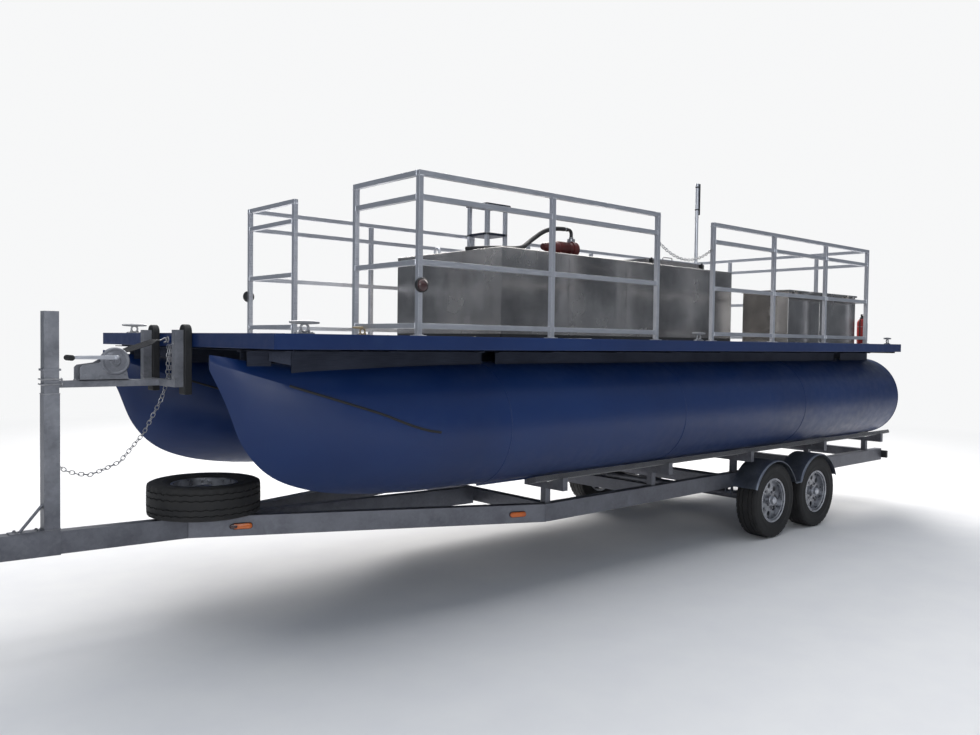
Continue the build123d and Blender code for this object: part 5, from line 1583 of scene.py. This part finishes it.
def leaf_spring(packs, gear, seat):
    """One leaf pack over its seat, with plates, eyes, hangers and U-bolts."""
    for reach, drop in LEAVES:
        rings = []
        for x in ((i / 8 - 1) * reach for i in range(17)):
            z = 30 - 0.9 * drop + 9 * (x / SPRING_HALF) ** 2
            rings.append([moved(seat, x, y, z + rise) for y, rise in LEAF])
        packs.skin(rings)
    packs.block(seat, (-60, -30, 0), (60, 30, 10)).block(seat, (-55, -28, 36), (55, 28, 42))
    for end in SIDES:
        eye = moved(seat, end * SPRING_HALF * 0.97, 0, 42)
        axle = moved(seat, end * 38, 0, -38)
        packs.lathe(moved(eye, 0, -22), PORT, [(13, 0), (13, 44)], 24)
        for y in (-29, 24):
            plate = arc(moved(eye, 0, y), FORWARD, UP, 20 * MM, 180, 360, 12)
            plate += [(moved(eye, x, y).x, moved(eye, x, y).y, FRAME_FOOT) for x in (20, -20)]
            packs.slab(plate, PORT * 5 * MM)
        hoop = [moved(axle, 0, -27, 96), moved(axle, 0, -27)] + arc(axle, -PORT, -UP, 27 * MM, 0, 180, 12)
        gear.tube([*hoop, moved(axle, 0, 27, 96)], 5)
        for out in SIDES:
            gear.bolt(moved(eye, 0, out * 29), PORT * out, 9)
            gear.bolt(moved(axle, 0, out * 27, 80), UP, 8)


def leaf_springs():
    """The four leaf packs and their fixings."""
    packs, gear = Piece("spring_packs"), Piece("spring_bolts")
    for side, x in product(SIDES, AXLE_XS):
        leaf_spring(packs, gear, Vector((x, SPRING_Y * side, AXLE_Z + 38 * MM)))
    packs.done("fender_steel", "leaf_springs", bevel=0.8)
    gear.done("chain_steel")


def fender(name, side):
    """One double-arch mudguard of rolled sheet, with a bead along its outer edge and bolted stays."""
    piece, fixings = Piece("fender_sheet_" + name), Piece("fender_bolts_" + name)
    dip = math.degrees(math.asin((FENDER_FOOT - AXLE_Z) / FENDER_R))
    line = []
    for x in AXLE_XS:
        line += arc((x, 0, AXLE_Z), FORWARD, UP, FENDER_R + 3 * MM, dip, 180 - dip, 28)
    rings = []
    for i, point in enumerate(line):
        run = (line[min(i + 1, len(line) - 1)] - line[max(i - 1, 0)]).normalized()
        out = Vector((run.z, 0, -run.x))
        if out.z < 0 and abs(point.x - sum(AXLE_XS) / 2) <= 0.05:
            out = -out
        middle = point + PORT * side * FENDER_IN
        rings.append([middle + PORT * side * w * MM + out * h * MM for w, h in FENDER_SECTION])
    piece.skin(rings)
    face = FENDER_IN + 5 * MM
    for x in AXLE_XS:
        y0, y1 = sorted((side * FENDER_IN, side * face))
        piece.box((x - 30 * MM, y0, STAY_FOOT), (x + 30 * MM, y1, AXLE_Z + FENDER_R + 1 * MM))
        for off in (-17, 17):
            fixings.bolt(moved((x, side * face, STAY_FOOT), off, 0, 32), PORT * side, 7)
    piece.done("fender_steel", "fender_" + name, crease=30.0)
    fixings.done("chain_steel")


def side_markers():
    """Oval amber lamps, red at the forward end of the front pair, in black grommets."""
    amber, red, bases = (Piece("marker_" + part) for part in ("lenses", "red", "bases"))
    for side, x in product(SIDES, MARKER_XS):
        at, out = beam_spot(x, side, BEAM_TALL / 2)
        along = Vector((abs(out.y), -out.x * side, 0))
        lamps = [
            (bases, at, 130, 42, ((0, 0), (0, 5), (5, 7))),
            (amber, at, 130, 42, ((7, 5), (7, 12), (11, 15.5), (20, 17.5))),
        ]
        if x == MARKER_XS[0]:
            lamps.append((red, at + along * 50 * MM, 56, 34, ((3, 5), (3, 12.6), (8, 16.4), (18, 18.2))))
        for piece, hub, long, tall, steps in lamps:
            piece.skin([pill(hub + out * h * MM, along, UP, long - cut, tall - cut) for cut, h in steps])
    bases.done("black_plastic", "side_markers")
    amber.done("lamp_amber")
    red.done("lamp_red")


def tail_lights():
    """Boxed tail lamps: black body and red lens with two screws."""
    body, glass = Piece("tail_bodies"), Piece("tail_lenses")
    x, y, z = TAIL_AT
    for at in ((x, y * side, z) for side in SIDES):
        body.block(at, (-26, -68, -40), (0, 68, 40))
        glass.block(at, (-39, -65, -37), (-24, 65, 37))
        for off in (-50, 50):
            body.lathe(moved(at, -38.5, off), -FORWARD, [(4, 0), (4, 0.8)], 12)
    body.done("black_plastic", "tail_lights", bevel=2)
    glass.done("lamp_red", bevel=3)


def jack():
    """The jack's collars, bracket bolts, head cover, crank grip and dished foot."""
    deck = JACK_AT + UP * beam_top(JACK_AT.x)
    head, foot = deck + UP * JACK_HEAD, moved(JACK_AT, 0, 0, 8)
    trim = Piece("jack_trim")
    for at in (moved(JACK_AT, 0, 0, 402), moved(deck, 0, 0, -55), moved(head, 0, 0, -32)):
        trim.lathe(at, UP, [(28.5, 0), (31, 2), (31, 10), (28.5, 12)], 32)
    for off, drop in product((-17, 17), (22, 46)):
        trim.bolt(moved(deck, off, -12, -drop), PORT, 6, False)
    trim.lathe(head, UP, [(26, 0), (22, 4), (8, 6)], 32).done("chain_steel")
    grip = [(9, 0), (13, 3), (14, 30), (12, 52), (13.5, 70), (9, 74)]
    Piece("jack_grip").lathe(moved(head, 18, 150, -15), FORWARD, grip, 24).done("stop_rubber")
    rim = Piece("jack_foot_rim").band(foot, UP, 76, 3.5)
    rim.lathe(foot, UP, [(38, 0), (25, 12), (22.5, 14)], 32).done("chain_steel", body="jack_foot")


def coupler():
    """The coupler's rounded hood, latch lever, bolts and safety pin."""
    ball = Vector((BALL_X, 0, beam_top(TONGUE_TIP)))
    piece = Piece("coupler_trim")
    piece.lathe(ball, UP, [(48, -62), (50, -58), (50, -54), (48, -50)], caps=False)
    piece.lathe(ball, UP, [(46, 0), (40, 7), (24, 12), (6, 14)])
    piece.tube([moved(ball, x, 0, z) for x, z in ((-178.5, 32), (-108.5, 38), (-53.5, 30))], 7, 12)
    for x, side in product((-163.5, -83.5), SIDES):
        piece.bolt(moved(ball, x, side * 38, -30), PORT * side, 9)
    piece.ring(moved(ball, -123.5, 0, 22), PORT, UP, 16, 2, 20, 8).done("chain_steel")


def spare_mount():
    """The spare's clamp plate and the stud's thread."""
    low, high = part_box("spare_carrier")
    top = Vector(((low[0] + high[0]) / 2, 0, high[2]))
    plate = (top.x, 0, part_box("spare_rim")[1][2] - 25 * MM)
    piece = Piece("spare_clamp").lathe(plate, UP, [(46, 0), (46, 5), (20, 8)], 36)
    for i in range(18):
        piece.lathe(moved(top, 0, 0, 2.5 * i - 40), UP, [(8, 0), (9.5, 1.2), (8, 2.4)], 14)
    piece.done("chain_steel")


def stand_trim():
    """Bolts at the post's foot and on the arm, and the welds of the post and the stops."""
    piece = Piece("stand_trim")
    foot = Vector((POST_X, 0, beam_top(POST_X) + 14 * MM))
    for off, side in product((66, 176), SIDES):
        piece.bolt(moved(foot, off, side * 24, off * SLOPE), UP, 9)
    piece.weld(square((POST_X, 0, COLLAR_Z), 41), 2.2).weld(square(foot, 42), 3.4)
    for x in ARM_BOLT_XS:
        piece.bolt((x, 0, ARM_TOP), UP, 10)
    for side, x in product(SIDES, (-44, -6)):
        at = moved((STOP_FACE, PAD_Y * side, ARM_TOP), x, 0, 1)
        piece.weld([moved(at, 0, -25), moved(at, 0, 25)], 2.6)
    piece.done("chain_steel")


def stop_pads():
    """The two rubber pads, rounded at the top, on their bolts."""
    low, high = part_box("stop_pads")
    pads, bolts = Piece("stop_cushions"), Piece("stop_bolts")
    for y in (-PAD_Y, PAD_Y):
        outline = arc((PAD_FACE, y, high[2] - PAD_HALF), PORT, UP, PAD_HALF, 0, 180, 14)
        outline += [(PAD_FACE, y - PAD_HALF, low[2]), (PAD_FACE, y + PAD_HALF, low[2])]
        pads.slab(outline, FORWARD * PAD_THICK)
        for rise in (0.10, 0.30):
            bolts.bolt((STOP_FACE, y, low[2] + rise), FORWARD, 9)
    pads.done("stop_rubber", "stop_pads", bevel=6)
    bolts.done("chain_steel")


def motor_transom():
    """Rubber clamp pads, corner bolts and welds on the motor's plate."""
    low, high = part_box("motor_transom")
    pads, bolts = Piece("transom_pads"), Piece("transom_bolts")
    for side in SIDES:
        pads.block((low[0], 0.120 * side, high[2]), (-6, -45, -150), (0, 45, -30))
        for drop in (60, 300):
            bolts.bolt(moved((low[0], 0.270 * side, high[2]), 0, 0, -drop), -FORWARD, 9)
        bolts.weld([moved((low[0], 0.272 * side, high[2]), 44, 0, z) for z in (-118, -3)], 3)
    pads.done("stop_rubber", bevel=3)
    bolts.done("chain_steel")


def paint_nodes():
    """Each CAD node takes its slot's finish."""
    for name, node in nodes.items():
        node.data.materials.clear()
        node.data.materials.append(materials[SLOTS[name]])


def build():
    """Everything that the scene adds to the frame, the cord first."""
    pump_hose()
    pontoon(1)
    pontoon(-1)
    wheels()
    for make in (
        *(safety_chain, gate_chain, winch_frame, gear_wheel, winch_drum, winch_handle, strap, post_clamps),
        *(guard_rails, deck_fixings, fascia_trim, riser_bridges, cleats, side_lights, fire_extinguisher),
        *(console, light_mast, water_tank, tank_hatch, aft_locker, pump, pump_elbow),
        *(frame_welds, bunk_boards, bracket_trim, leaf_springs),
    ):
        make()
    fender("port", 1)
    fender("starboard", -1)
    for make in (
        *(side_markers, tail_lights, jack, coupler, spare_mount),
        *(stand_trim, stop_pads, motor_transom),
    ):
        make()


make_camera()
materials = make_materials()
paint_nodes()
make_floor()
make_lights()
make_world()
build()
